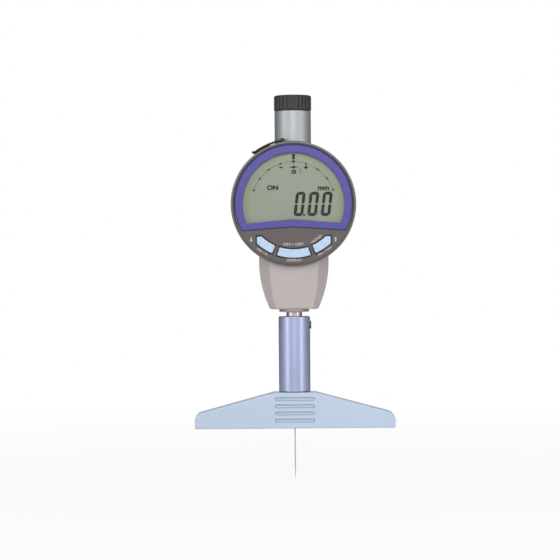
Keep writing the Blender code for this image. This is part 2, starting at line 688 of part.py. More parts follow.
def make_casing(silver, head):
    drum = [
        (0.0, CASING_FRONT),
        (CASING_RADIUS - CASING_EDGE, CASING_FRONT),
        (CASING_RADIUS, CASING_FRONT + CASING_EDGE),
        (CASING_RADIUS, CASING_BACK - CASING_EDGE),
        (CASING_RADIUS - CASING_EDGE, CASING_BACK),
        (0.0, CASING_BACK),
    ]
    face = (0, 0, FACE_HEIGHT)
    casing = piece("casing", turned(drum, LARGE_SIDES, "Y", face), silver, head, face)

    edge_share = TAIL_FOOT_EDGE / TAIL_CURVE_HEIGHT
    rings = [tail_ring(0.0, TAIL_FOOT, TAIL_FOOT_EDGE), tail_ring(edge_share, TAIL_FOOT + TAIL_FOOT_EDGE)]
    rings += [tail_ring(share, TAIL_FOOT + share * TAIL_CURVE_HEIGHT) for share in TAIL_RING_SHARES]
    rings.append(tail_ring(TAIL_RING_SHARES[-1], TAIL_FOOT + TAIL_HEIGHT))
    add(casing, "tail", lofted(rings))

    pivot = cover_pivot()
    lug = turned(
        [(0.0, LUG_FRONT), (KNUCKLE_RADIUS, LUG_FRONT), (KNUCKLE_RADIUS, LUG_BACK), (0.0, LUG_BACK)],
        TINY_SIDES,
        "Y",
        pivot,
    )
    add(casing, "lug_eye", lug)
    web = rectangle(KNUCKLE_RADIUS, (PIVOT_RADIUS - CAVITY_RADIUS) / 4)
    web = [(across, up + PIVOT_RADIUS - (PIVOT_RADIUS - CAVITY_RADIUS) / 4) for across, up in web]
    add(casing, "lug_web", prism(raised(turned_about_face(web, COVER_PIVOT_ANGLE)), "Y", LUG_FRONT, LUG_BACK))
    cut(casing, "void", casing_void())

    boss_middle = (0.0, (BOSS_BACK + BOSS_FRONT) / 2)
    boss = rectangle(BOSS_HALF_WIDTH, (BOSS_BACK - BOSS_FRONT) / 2, 0.0, boss_middle)
    add(casing, "boss", prism(boss, "Z", BOSS_FOOT, CAVITY_TOP + TUBE_SHANK_FLOOR / 2))
    way = [
        (0.0, TAIL_FOOT - CUT_OVERRUN),
        (STEM_SEAT_RADIUS, TAIL_FOOT - CUT_OVERRUN),
        (STEM_SEAT_RADIUS, STEM_TOP + SEAT_GAP),
        (BOSS_LIP_RADIUS, STEM_TOP + SEAT_GAP),
        (BOSS_LIP_RADIUS, BOSS_FOOT + BOSS_LIP),
        (BOSS_BORE_RADIUS, BOSS_FOOT + BOSS_LIP),
        (BOSS_BORE_RADIUS, TUBE_FOOT - SEAT_GAP),
        (TUBE_SHANK_RADIUS + SEAT_GAP, TUBE_FOOT - SEAT_GAP),
        (TUBE_SHANK_RADIUS + SEAT_GAP, CASING_TOP + CUT_OVERRUN),
        (0.0, CASING_TOP + CUT_OVERRUN),
    ]
    cut(casing, "spindle_way", turned(way, MEDIUM_SIDES))

    low, high = guide_rod_ends()
    rod_hole = [
        (0.0, low - SEAT_GAP),
        (GUIDE_ROD_RADIUS + SEAT_GAP, low - SEAT_GAP),
        (GUIDE_ROD_RADIUS + SEAT_GAP, high + SEAT_GAP),
        (0.0, high + SEAT_GAP),
    ]
    cut(casing, "rod_holes", turned(rod_hole, TINY_SIDES, centre=(GUIDE_ROD_OFFSET, 0, 0)))

    middle = (CAVITY_RADIUS + CASING_RADIUS) / 2
    port = rectangle(PORT_WIDTH / 2, CASING_WALL, 0.0, (0.0, middle))
    port = raised(turned_about_face(port, PORT_ANGLE))
    cut(casing, "port", prism(port, "Y", PORT_FRONT, PORT_BACK))

    pin_hole = [(0.0, LUG_FRONT - CUT_OVERRUN), (PIN_WAY_RADIUS, LUG_FRONT - CUT_OVERRUN)]
    pin_hole += [(PIN_WAY_RADIUS, LUG_BACK + CUT_OVERRUN), (0.0, LUG_BACK + CUT_OVERRUN)]
    cut(casing, "pin_hole", turned(pin_hole, TINY_SIDES, "Y", pivot))
    for index, place in enumerate(back_screw_places()):
        hole = [
            (0.0, CASING_BACK - BACK_SCREW_LENGTH - SEAT_GAP),
            (BACK_SCREW_RADIUS + SEAT_GAP, CASING_BACK - BACK_SCREW_LENGTH - SEAT_GAP),
            (BACK_SCREW_RADIUS + SEAT_GAP, CASING_BACK + CUT_OVERRUN),
            (0.0, CASING_BACK + CUT_OVERRUN),
        ]
        cut(casing, f"screw_hole_{index + 1}", turned(hole, TINY_SIDES, "Y", place))


def guide_rod_ends():
    half = math.sqrt(CAVITY_RADIUS**2 - GUIDE_ROD_OFFSET**2)
    return FACE_HEIGHT - half - GUIDE_ROD_SEAT, FACE_HEIGHT + half + GUIDE_ROD_SEAT


def back_screw_places():
    step = 360 / BACK_SCREW_COUNT
    circle = [arc(BACK_SCREW_CIRCLE, step * (turn + 0.5), 360, 1)[0] for turn in range(BACK_SCREW_COUNT)]
    return [(across, 0, FACE_HEIGHT + up) for across, up in circle]


def post_places():
    return [(side * POST_SPREAD / 2, 0, READ_HEAD_MIDDLE) for side in (-1, 1)]


def make_upper_bush(bronze, head):
    bush = [
        (SPINDLE_WAY_RADIUS, UPPER_BUSH_FOOT),
        (UPPER_BUSH_RADIUS, UPPER_BUSH_FOOT),
        (UPPER_BUSH_RADIUS, UPPER_BUSH_TOP),
        (SPINDLE_WAY_RADIUS, UPPER_BUSH_TOP),
    ]
    piece("upper_bush", turned(bush, SMALL_SIDES), bronze, head, (0, 0, UPPER_BUSH_FOOT))


def make_tube(silver, head):
    """The tube sits saddled on the drum, and its shank goes through the drum's wall into the boss."""
    saddle_corner = FACE_HEIGHT + math.sqrt(RIM_GAP_RADIUS**2 - TUBE_RADIUS**2)
    body = [
        (0.0, saddle_corner - CUT_OVERRUN),
        (TUBE_RADIUS, saddle_corner - CUT_OVERRUN),
        (TUBE_RADIUS, TUBE_SHOULDER),
        (TUBE_NECK_RADIUS, TUBE_SHOULDER),
        (TUBE_NECK_RADIUS, TUBE_TOP),
        (0.0, TUBE_TOP),
    ]
    tube = piece("spindle_tube", turned(body, MEDIUM_SIDES), silver, head, (0, 0, CASING_TOP))
    reach = TUBE_RADIUS + CUT_OVERRUN
    saddle = [(0.0, -reach), (RIM_GAP_RADIUS, -reach), (RIM_GAP_RADIUS, reach), (0.0, reach)]
    cut(tube, "saddle", turned(saddle, LARGE_SIDES, "Y", (0, 0, FACE_HEIGHT)))
    shank = [
        (0.0, TUBE_FOOT),
        (TUBE_SHANK_RADIUS, TUBE_FOOT),
        (TUBE_SHANK_RADIUS, CASING_TOP + CUT_OVERRUN),
        (0.0, CASING_TOP + CUT_OVERRUN),
    ]
    add(tube, "shank", turned(shank, MEDIUM_SIDES))
    shank_bore = TUBE_SHANK_RADIUS - TUBE_SHANK_WALL
    bore = [
        (0.0, TUBE_FOOT - CUT_OVERRUN),
        (shank_bore, TUBE_FOOT - CUT_OVERRUN),
        (shank_bore, CASING_TOP + CUT_OVERRUN),
        (TUBE_BORE_RADIUS, CASING_TOP + CUT_OVERRUN),
        (TUBE_BORE_RADIUS, TUBE_TOP + CUT_OVERRUN),
        (0.0, TUBE_TOP + CUT_OVERRUN),
    ]
    cut(tube, "bore", turned(bore, MEDIUM_SIDES))


def make_cap(black, rubber, lift_frame, turn_frame):
    step = 360 / CAP_FLUTE_COUNT
    valley = CAP_RADIUS - CAP_FLUTE_DEPTH
    outline = []
    for flute in range(CAP_FLUTE_COUNT):
        start = flute * step
        outline += arc(CAP_RADIUS, start, start + step * CAP_LAND_END_SHARE, 1)
        outline += arc(valley, start + step * CAP_VALLEY_START_SHARE, start + step * CAP_VALLEY_END_SHARE, 1)
    crown_share = (CAP_RADIUS - CAP_CROWN_EDGE - CAP_FLUTE_DEPTH) / CAP_RADIUS
    crown = [(across * crown_share, deep * crown_share) for across, deep in outline]
    rings = [
        ring_of(outline, "Z", CAP_FOOT),
        ring_of(outline, "Z", CAP_TOP - CAP_CROWN_EDGE),
        ring_of(crown, "Z", CAP_TOP),
    ]
    foot = (0, 0, CAP_FOOT)
    cap = piece("cap", lofted(rings), black, turn_frame, foot)
    groove = CAP_FOOT + CAP_SEAL_RISE
    reach = CAP_SEAL_RADIUS + RUNNING_GAP / 2
    seal_middle = CAP_BORE_RADIUS + RUNNING_GAP / 2
    bore = [
        (0.0, CAP_FOOT - CUT_OVERRUN),
        (CAP_BORE_RADIUS, CAP_FOOT - CUT_OVERRUN),
        (CAP_BORE_RADIUS, groove - reach),
        (seal_middle + reach, groove - reach),
        (seal_middle + reach, groove + reach),
        (CAP_BORE_RADIUS, groove + reach),
        (CAP_BORE_RADIUS, TUBE_TOP + SEAT_GAP),
        (TUBE_BORE_RADIUS, TUBE_TOP + SEAT_GAP),
        (TUBE_BORE_RADIUS, CAP_CEILING),
        (0.0, CAP_CEILING),
    ]
    cut(cap, "bore", turned(bore, MEDIUM_SIDES))
    section = arc(CAP_SEAL_RADIUS, 0, 360, SEAL_SECTION_SIDES, (seal_middle, groove))[:-1]
    piece("cap_seal", turned(section, MEDIUM_SIDES), rubber, lift_frame, (0, 0, groove))


def make_spindle(steel, black, needle_steel, spindle_frame):
    stud_way = HOLDER_STUD_RADIUS + RUNNING_GAP
    body = [
        (stud_way, SPINDLE_FOOT),
        (SPINDLE_RADIUS, SPINDLE_FOOT),
        (SPINDLE_RADIUS, SPINDLE_TOP),
        (0.0, SPINDLE_TOP),
        (0.0, SPINDLE_FOOT + HOLDER_STUD_LENGTH),
        (stud_way, SPINDLE_FOOT + HOLDER_STUD_LENGTH),
    ]
    open_profile = body[4:] + body[:4]
    piece("spindle", turned(open_profile, SMALL_SIDES), steel, spindle_frame, (0, 0, SPINDLE_FOOT))
    collar = [
        (SPINDLE_WAY_RADIUS, COLLAR_FOOT),
        (COLLAR_RADIUS, COLLAR_FOOT),
        (COLLAR_RADIUS, SPINDLE_TOP),
        (SPINDLE_WAY_RADIUS, SPINDLE_TOP),
    ]
    piece("stop_collar", turned(collar, SMALL_SIDES), black, spindle_frame, (0, 0, COLLAR_FOOT))

    needle_way = NEEDLE_RADIUS + RUNNING_GAP
    needle_top = HOLDER_FOOT + NEEDLE_ROOT
    holder = [
        (0.0, needle_top + SEAT_GAP),
        (needle_way, needle_top + SEAT_GAP),
        (needle_way, HOLDER_FOOT),
        (HOLDER_NOSE_RADIUS, HOLDER_FOOT),
        (SPINDLE_RADIUS, HOLDER_FOOT + HOLDER_NOSE_LENGTH),
        (SPINDLE_RADIUS, HOLDER_TOP),
        (HOLDER_STUD_RADIUS, HOLDER_TOP),
        (HOLDER_STUD_RADIUS, HOLDER_TOP + HOLDER_STUD_LENGTH),
        (0.0, HOLDER_TOP + HOLDER_STUD_LENGTH),
    ]
    piece("contact_holder", turned(holder, SMALL_SIDES), steel, spindle_frame, (0, 0, HOLDER_FOOT))
    needle = [
        (0.0, NEEDLE_TIP),
        (NEEDLE_TIP_RADIUS, NEEDLE_TIP + NEEDLE_TIP_RADIUS),
        (NEEDLE_RADIUS, NEEDLE_TIP + NEEDLE_TAPER),
        (NEEDLE_RADIUS, needle_top),
        (0.0, needle_top),
    ]
    piece("needle", turned(needle, TINY_SIDES), needle_steel, spindle_frame, (0, 0, needle_top))


def make_carriage(black, steel, glass_scale, head, spindle_frame):
    slot = GUIDE_ROD_RADIUS + SEAT_GAP
    arm = slot + GUIDE_FORK_WALL / 2
    outline = [
        (-CARRIAGE_HALF_WIDTH, -CARRIAGE_FRONT_DEPTH),
        (CARRIAGE_HALF_WIDTH, -CARRIAGE_FRONT_DEPTH),
        (CARRIAGE_HALF_WIDTH, -arm),
        (ARM_REACH, -arm),
        (ARM_REACH, -slot),
        (GUIDE_ROD_OFFSET - slot, -slot),
        (GUIDE_ROD_OFFSET - slot, slot),
        (ARM_REACH, slot),
        (ARM_REACH, arm),
        (CARRIAGE_HALF_WIDTH, arm),
        (CARRIAGE_HALF_WIDTH, CARRIAGE_BACK_DEPTH),
        (-CARRIAGE_HALF_WIDTH, CARRIAGE_BACK_DEPTH),
    ]
    foot = (0, 0, CARRIAGE_FOOT)
    block = prism(outline, "Z", CARRIAGE_FOOT, CARRIAGE_TOP)
    carriage = piece("carriage", block, black, spindle_frame, foot)
    bore = [
        (0.0, CARRIAGE_FOOT - CUT_OVERRUN),
        (SPINDLE_WAY_RADIUS, CARRIAGE_FOOT - CUT_OVERRUN),
        (SPINDLE_WAY_RADIUS, CARRIAGE_TOP + CUT_OVERRUN),
        (0.0, CARRIAGE_TOP + CUT_OVERRUN),
    ]
    cut(carriage, "bore", turned(bore, SMALL_SIDES))

    strip = rectangle(
        SCALE_WIDTH / 2,
        SCALE_THICKNESS / 2,
        0.0,
        (0.0, (SCALE_FRONT + SCALE_BACK) / 2),
    )
    strip = prism(strip, "Z", SCALE_FOOT, SCALE_FOOT + SCALE_LENGTH)
    piece("scale_strip", strip, glass_scale, spindle_frame, (0, SCALE_FRONT, SCALE_FOOT))

    low, high = guide_rod_ends()
    rod = [(0.0, low), (GUIDE_ROD_RADIUS, low), (GUIDE_ROD_RADIUS, high), (0.0, high)]
    rod = turned(rod, TINY_SIDES, centre=(GUIDE_ROD_OFFSET, 0, 0))
    piece("guide_rod", rod, steel, head, (GUIDE_ROD_OFFSET, 0, low))


def make_spring(steel, head):
    """A helix between the carriage and the boss, with closed end turns."""
    low = CARRIAGE_TOP + SEAT_GAP + SPRING_WIRE_RADIUS
    high = BOSS_FOOT - SEAT_GAP - SPRING_WIRE_RADIUS
    points_per_turn = 8
    count = SPRING_TURNS * points_per_turn
    closed_rise = 2 * SPRING_WIRE_RADIUS + RUNNING_GAP
    curve = bpy.data.curves.new("return_spring", "CURVE")
    curve.dimensions = "3D"
    curve.bevel_depth = SPRING_WIRE_RADIUS
    curve.bevel_resolution = 1
    curve.use_fill_caps = True
    line = curve.splines.new("POLY")
    line.points.add(count)
    for index, point in enumerate(line.points):
        turns = index / points_per_turn
        open_share = min(max(turns - 1, 0.0) / (SPRING_TURNS - 2), 1.0)
        closed_turns = min(turns, 1.0) + max(turns - (SPRING_TURNS - 1), 0.0)
        height = closed_turns * closed_rise + open_share * (high - low - 2 * closed_rise)
        angle = 2 * math.pi * turns
        across = SPRING_COIL_RADIUS * math.cos(angle)
        deep = SPRING_COIL_RADIUS * math.sin(angle)
        point.co = (across, deep, height, 1.0)
    curve.materials.append(steel)
    spring = bpy.data.objects.new("return_spring", curve)
    bpy.context.scene.collection.objects.link(spring)
    spring.parent = head
    spring.location = Vector((0, 0, low)) - frame_places[head.name]


def make_sensor(green_board, black, steel, head):
    middle = (0.0, READ_HEAD_MIDDLE)
    chip = prism(
        rectangle(READ_HEAD_WIDTH / 2, READ_HEAD_LENGTH / 2, 0.0, middle),
        "Y",
        READ_HEAD_FRONT,
        READ_HEAD_BACK,
    )
    piece("read_head", chip, black, head, (0, READ_HEAD_FRONT, READ_HEAD_MIDDLE))
    plate = rectangle(SENSOR_BOARD_WIDTH / 2, SENSOR_BOARD_LENGTH / 2, POST_RADIUS, middle)
    plate = prism(plate, "Y", SENSOR_BOARD_FRONT, SENSOR_BOARD_BACK)
    board = piece("sensor_board", plate, green_board, head, (0, SENSOR_BOARD_FRONT, READ_HEAD_MIDDLE))
    head_back = SENSOR_BOARD_FRONT - RUNNING_GAP
    head_front = head_back - BOARD_SCREW_HEAD_HEIGHT
    tip = POST_END + BOARD_SCREW_BITE
    for index, place in enumerate(post_places()):
        hole = [
            (0.0, SENSOR_BOARD_FRONT - CUT_OVERRUN),
            (BOARD_SCREW_RADIUS + RUNNING_GAP, SENSOR_BOARD_FRONT - CUT_OVERRUN),
            (BOARD_SCREW_RADIUS + RUNNING_GAP, SENSOR_BOARD_BACK + CUT_OVERRUN),
            (0.0, SENSOR_BOARD_BACK + CUT_OVERRUN),
        ]
        cut(board, f"hole_{index + 1}", turned(hole, TINY_SIDES, "Y", place))
        screw = [
            (0.0, head_front),
            (BOARD_SCREW_HEAD_RADIUS, head_front),
            (BOARD_SCREW_HEAD_RADIUS, head_back),
            (BOARD_SCREW_RADIUS, head_back),
            (BOARD_SCREW_RADIUS, tip),
            (0.0, tip),
        ]
        origin = (place[0], head_back, place[2])
        piece(f"board_screw_{index + 1}", turned(screw, TINY_SIDES, "Y", place), steel, head, origin)


def make_back_cover(silver, steel, head):
    radius = CASING_RADIUS - COVER_INSET
    spigot = CAVITY_RADIUS - SEAT_GAP
    spigot_front = COVER_FRONT - COVER_SPIGOT_LENGTH
    profile = [
        (0.0, COVER_FRONT),
        (spigot - COVER_SPIGOT_WALL, COVER_FRONT),
        (spigot - COVER_SPIGOT_WALL, spigot_front),
        (spigot, spigot_front),
        (spigot, COVER_FRONT),
        (radius, COVER_FRONT),
        (radius, COVER_BACK - COVER_EDGE),
        (radius - COVER_EDGE, COVER_BACK),
        (0.0, COVER_BACK),
    ]
    face = (0, 0, FACE_HEIGHT)
    middle = (0, COVER_FRONT, FACE_HEIGHT)
    cover = piece("back_cover", turned(profile, LARGE_SIDES, "Y", face), silver, head, middle)
    overlap = COVER_THICKNESS / 2
    for index, place in enumerate(post_places()):
        post = [(0.0, POST_END), (POST_RADIUS, POST_END), (POST_RADIUS, COVER_FRONT + overlap)]
        post.append((0.0, COVER_FRONT + overlap))
        add(cover, f"post_{index + 1}", turned(post, TINY_SIDES, "Y", place))
        hole = [
            (0.0, POST_END - CUT_OVERRUN),
            (BOARD_SCREW_RADIUS + RUNNING_GAP, POST_END - CUT_OVERRUN),
            (BOARD_SCREW_RADIUS + RUNNING_GAP, POST_END + BOARD_SCREW_BITE + SEAT_GAP),
            (0.0, POST_END + BOARD_SCREW_BITE + SEAT_GAP),
        ]
        cut(cover, f"post_hole_{index + 1}", turned(hole, TINY_SIDES, "Y", place))
    seat = COVER_BACK - BACK_SCREW_HEAD_HEIGHT - SEAT_GAP
    for index, place in enumerate(back_screw_places()):
        hole = [
            (0.0, COVER_FRONT - CUT_OVERRUN),
            (BACK_SCREW_RADIUS + SEAT_GAP, COVER_FRONT - CUT_OVERRUN),
            (BACK_SCREW_RADIUS + SEAT_GAP, seat),
            (BACK_SCREW_HEAD_RADIUS + SEAT_GAP, seat),
            (BACK_SCREW_HEAD_RADIUS + SEAT_GAP, COVER_BACK + CUT_OVERRUN),
            (0.0, COVER_BACK + CUT_OVERRUN),
        ]
        cut(cover, f"screw_hole_{index + 1}", turned(hole, TINY_SIDES, "Y", place))
        tip = CASING_BACK - BACK_SCREW_LENGTH
        screw = [
            (0.0, tip),
            (BACK_SCREW_RADIUS, tip),
            (BACK_SCREW_RADIUS, COVER_BACK - BACK_SCREW_HEAD_HEIGHT),
            (BACK_SCREW_HEAD_RADIUS, COVER_BACK - BACK_SCREW_HEAD_HEIGHT),
            (BACK_SCREW_HEAD_RADIUS, COVER_BACK),
            (0.0, COVER_BACK),
        ]
        origin = (place[0], COVER_BACK, place[2])
        piece(f"back_screw_{index + 1}", turned(screw, TINY_SIDES, "Y", place), steel, head, origin)


def key_outline(side, grow):
    """A key's outline about the face's centre: side is -1, 0 or 1, and grow widens it all round."""
    inner = KEY_INNER_RADIUS - grow
    outer = KEY_OUTER_RADIUS + grow
    lean = math.degrees(grow / ((inner + outer) / 2))
    steps = CORNER_STEPS
    if side == 0:
        last = CENTRE_KEY_SPAN / 2 + lean
        return arc(outer, -last, last, 2 * steps) + arc(inner, last, -last, 2 * steps)
    first = SIDE_KEY_START - lean
    drop = KEY_CORNER_DROP - grow
    reach = KEY_CORNER_REACH + grow
    outer_end = math.degrees(math.asin(reach / outer))
    inner_end = math.degrees(math.acos(drop / inner))
    outline = arc(outer, first, outer_end, steps)
    outline.append((reach, -drop))
    outline += arc(inner, inner_end, first, steps)
    return outline if side > 0 else mirrored(outline)


def key_centre(side):
    outline = key_outline(side, 0.0)
    across = sum(point[0] for point in outline) / len(outline)
    up = sum(point[1] for point in outline) / len(outline)
    return across, up + FACE_HEIGHT


def make_display_housing(black, display):
    profile = [
        (0.0, BEZEL_FRONT),
        (BEZEL_RADIUS - BEZEL_EDGE, BEZEL_FRONT),
        (BEZEL_RADIUS, BEZEL_FRONT + BEZEL_EDGE),
        (BEZEL_RADIUS, BEZEL_BACK),
        (SPIGOT_RADIUS, BEZEL_BACK),
        (SPIGOT_RADIUS, seal_middle() - SEAL_GROOVE_WIDTH / 2),
        (SPIGOT_RADIUS - SEAL_GROOVE_DEPTH, seal_middle() - SEAL_GROOVE_WIDTH / 2),
        (SPIGOT_RADIUS - SEAL_GROOVE_DEPTH, seal_middle() + SEAL_GROOVE_WIDTH / 2),
        (SPIGOT_RADIUS, seal_middle() + SEAL_GROOVE_WIDTH / 2),
        (SPIGOT_RADIUS, SPIGOT_END),
        (HOUSING_BORE_RADIUS, SPIGOT_END),
        (HOUSING_BORE_RADIUS, PLATE_BACK),
        (0.0, PLATE_BACK),
    ]
    face = (0, 0, FACE_HEIGHT)
    housing = piece("display_housing", turned(profile, LARGE_SIDES, "Y", face), black, display, face)
    front = BEZEL_FRONT - CUT_OVERRUN
    back = PLATE_BACK + CUT_OVERRUN / 2
    recess = frame_outline(SEAT_GAP)
    cut(housing, "frame_recess", prism(recess, "Y", front, BEZEL_FRONT + FRAME_SUNK))
    cut(housing, "window_opening", prism(window_outline(WINDOW_LAP + SEAT_GAP), "Y", front, back))
    for side, name in ((-1, "left"), (0, "centre"), (1, "right")):
        hole = raised(key_outline(side, SEAT_GAP))
        cut(housing, f"{name}_key_hole", prism(hole, "Y", front, back))


def seal_middle():
    return SPIGOT_END - SEAL_SETBACK


def window_outline(grow):
    return raised(dome(WINDOW_RADIUS + grow, WINDOW_DROP + grow, WINDOW_SILL_SLOPE, LARGE_SIDES * 2 // 3))


def frame_outline(grow):
    drop = WINDOW_DROP + FRAME_BAR_HEIGHT + grow
    return raised(dome(FRAME_RADIUS + grow, drop, FRAME_BAR_SLOPE, LARGE_SIDES * 2 // 3))


def make_face(blue, clear, lcd_grey, display):
    face = (0, 0, FACE_HEIGHT)
    frame = piece("blue_frame", prism(frame_outline(0.0), "Y", FRAME_FRONT, FRAME_BACK), blue, display, face)
    opening = prism(window_outline(0.0), "Y", FRAME_FRONT - CUT_OVERRUN, FRAME_BACK + CUT_OVERRUN)
    cut(frame, "window_opening", opening)
    glass = prism(window_outline(WINDOW_LAP), "Y", WINDOW_FRONT, WINDOW_BACK)
    piece("window", glass, clear, display, (0, WINDOW_FRONT, FACE_HEIGHT))
    panel = prism(window_outline(WINDOW_LAP + SEAT_GAP + LCD_LAP), "Y", LCD_FRONT, LCD_BACK)
    piece("lcd", panel, lcd_grey, display, (0, LCD_FRONT, FACE_HEIGHT))


def make_keys(pale_blue, rubber, display):
    key_front = BEZEL_FRONT - KEY_PROUD
    flange_front = PLATE_BACK + SEAT_GAP
    flange_back = flange_front + KEY_FLANGE_THICKNESS
    for side, name in ((-1, "key_left"), (0, "key_centre"), (1, "key_right")):
        across, height = key_centre(side)
        body = raised(key_outline(side, 0.0))
        flange = raised(key_outline(side, SEAT_GAP + KEY_FLANGE))
        origin = (across, key_front, height)
        slide_frame = axis_frame(f"{name}_slide", origin, display)
        key = prism(body, "Y", key_front, flange_front + KEY_FLANGE_THICKNESS / 2)
        key = piece(name, key, pale_blue, slide_frame, origin)
        add(key, "flange", prism(flange, "Y", flange_front, flange_back))
    mat_front = LCD_BACK - KEY_MAT_THICKNESS
    half = KEY_MAT_SPAN / 2
    outline = arc(INNER_DISC_RADIUS, -half, half, 4 * CORNER_STEPS)
    outline += arc(KEY_INNER_RADIUS - KEY_MAT_MARGIN, half, -half, 4 * CORNER_STEPS)
    mat = prism(raised(outline), "Y", mat_front, LCD_BACK)
    piece("key_mat", mat, rubber, display, (0, mat_front, FACE_HEIGHT))


def make_display_inside(green_board, bright_steel, rubber, black, display):
    face = (0, 0, FACE_HEIGHT)
    disc = [
        (0.0, BOARD_FRONT),
        (INNER_DISC_RADIUS, BOARD_FRONT),
        (INNER_DISC_RADIUS, BOARD_BACK),
        (0.0, BOARD_BACK),
    ]
    board = turned(disc, MEDIUM_SIDES, "Y", face)
    piece("display_board", board, green_board, display, (0, BOARD_FRONT, FACE_HEIGHT))

    centre = (0, 0, FACE_HEIGHT + CELL_RISE)
    cell = [
        (0.0, CELL_FRONT),
        (CELL_RADIUS - CELL_EDGE, CELL_FRONT),
        (CELL_RADIUS, CELL_FRONT + CELL_EDGE),
        (CELL_RADIUS, CELL_BACK),
        (0.0, CELL_BACK),
    ]
    cell = turned(cell, MEDIUM_SIDES, "Y", centre)
    piece("battery", cell, bright_steel, display, (0, CELL_FRONT, centre[2]))

    riser = centre[2] + CELL_RADIUS + SEAT_GAP
    strip = [
        (BOARD_BACK + SEAT_GAP, riser),
        (BOARD_BACK + SEAT_GAP, riser + CONTACT_FOOT),
        (BOARD_BACK + SEAT_GAP + CONTACT_THICKNESS, riser + CONTACT_FOOT),
        (BOARD_BACK + SEAT_GAP + CONTACT_THICKNESS, riser + CONTACT_THICKNESS),
        (CONTACT_BACK, riser + CONTACT_THICKNESS),
        (CONTACT_BACK, riser - CONTACT_REACH),
        (CONTACT_FRONT, riser - CONTACT_REACH),
        (CONTACT_FRONT, riser),
    ]
    contact = prism(strip, "X", -CONTACT_WIDTH / 2, CONTACT_WIDTH / 2)
    piece("battery_contact", contact, bright_steel, display, (0, BOARD_BACK, riser))

    groove_front = CLIP_FRONT - CIRCLIP_PLAY
    groove_back = CLIP_BACK + CIRCLIP_PLAY
    groove_floor = HUB_RADIUS - CIRCLIP_DEPTH
    backplate = [
        (0.0, BACKPLATE_FRONT),
        (INNER_DISC_RADIUS, BACKPLATE_FRONT),
        (INNER_DISC_RADIUS, SPIGOT_END),
        (HUB_RADIUS, SPIGOT_END),
        (HUB_RADIUS, groove_front),
        (groove_floor, groove_front),
        (groove_floor, groove_back),
        (HUB_RADIUS, groove_back),
        (HUB_RADIUS, HUB_END),
        (HUB_RADIUS - HUB_WALL, HUB_END),
        (HUB_RADIUS - HUB_WALL, SPIGOT_END),
        (0.0, SPIGOT_END),
    ]
    backplate = turned(backplate, LARGE_SIDES, "Y", face)
    piece("display_back", backplate, black, display, (0, BACKPLATE_FRONT, FACE_HEIGHT))

    clip_inner = groove_floor + RUNNING_GAP
    clip = [
        (clip_inner, CLIP_FRONT),
        (clip_inner + CIRCLIP_WIDTH, CLIP_FRONT),
        (clip_inner + CIRCLIP_WIDTH, CLIP_BACK),
        (clip_inner, CLIP_BACK),
    ]
    clip = turned(clip, MEDIUM_SIDES, "Y", face, 360 - CIRCLIP_OPENING)
    piece("circlip", clip, bright_steel, display, (0, CLIP_FRONT, FACE_HEIGHT))

    middle = SPIGOT_RADIUS - SEAL_GROOVE_DEPTH + RUNNING_GAP / 2 + SEAL_RADIUS
    section = arc(SEAL_RADIUS, 0, 360, SEAL_SECTION_SIDES, (middle, seal_middle()))[:-1]
    seal = turned(section, LARGE_SIDES, "Y", face)
    piece("display_seal", seal, rubber, display, (0, seal_middle(), FACE_HEIGHT))


def cover_pivot():
    """The port cover's pivot, on the rim a little left of the tube's axis."""
    across, up = turned_about_face([(0.0, PIVOT_RADIUS)], COVER_PIVOT_ANGLE)[0]
    return across, 0.0, FACE_HEIGHT + up


def rim_sector(inner, outer, first, last, steps):
    """An outline along the rim, between two radii and two angles left of the top."""
    return arc(outer, 180 + first, 180 + last, steps) + arc(inner, 180 + last, 180 + first, steps)


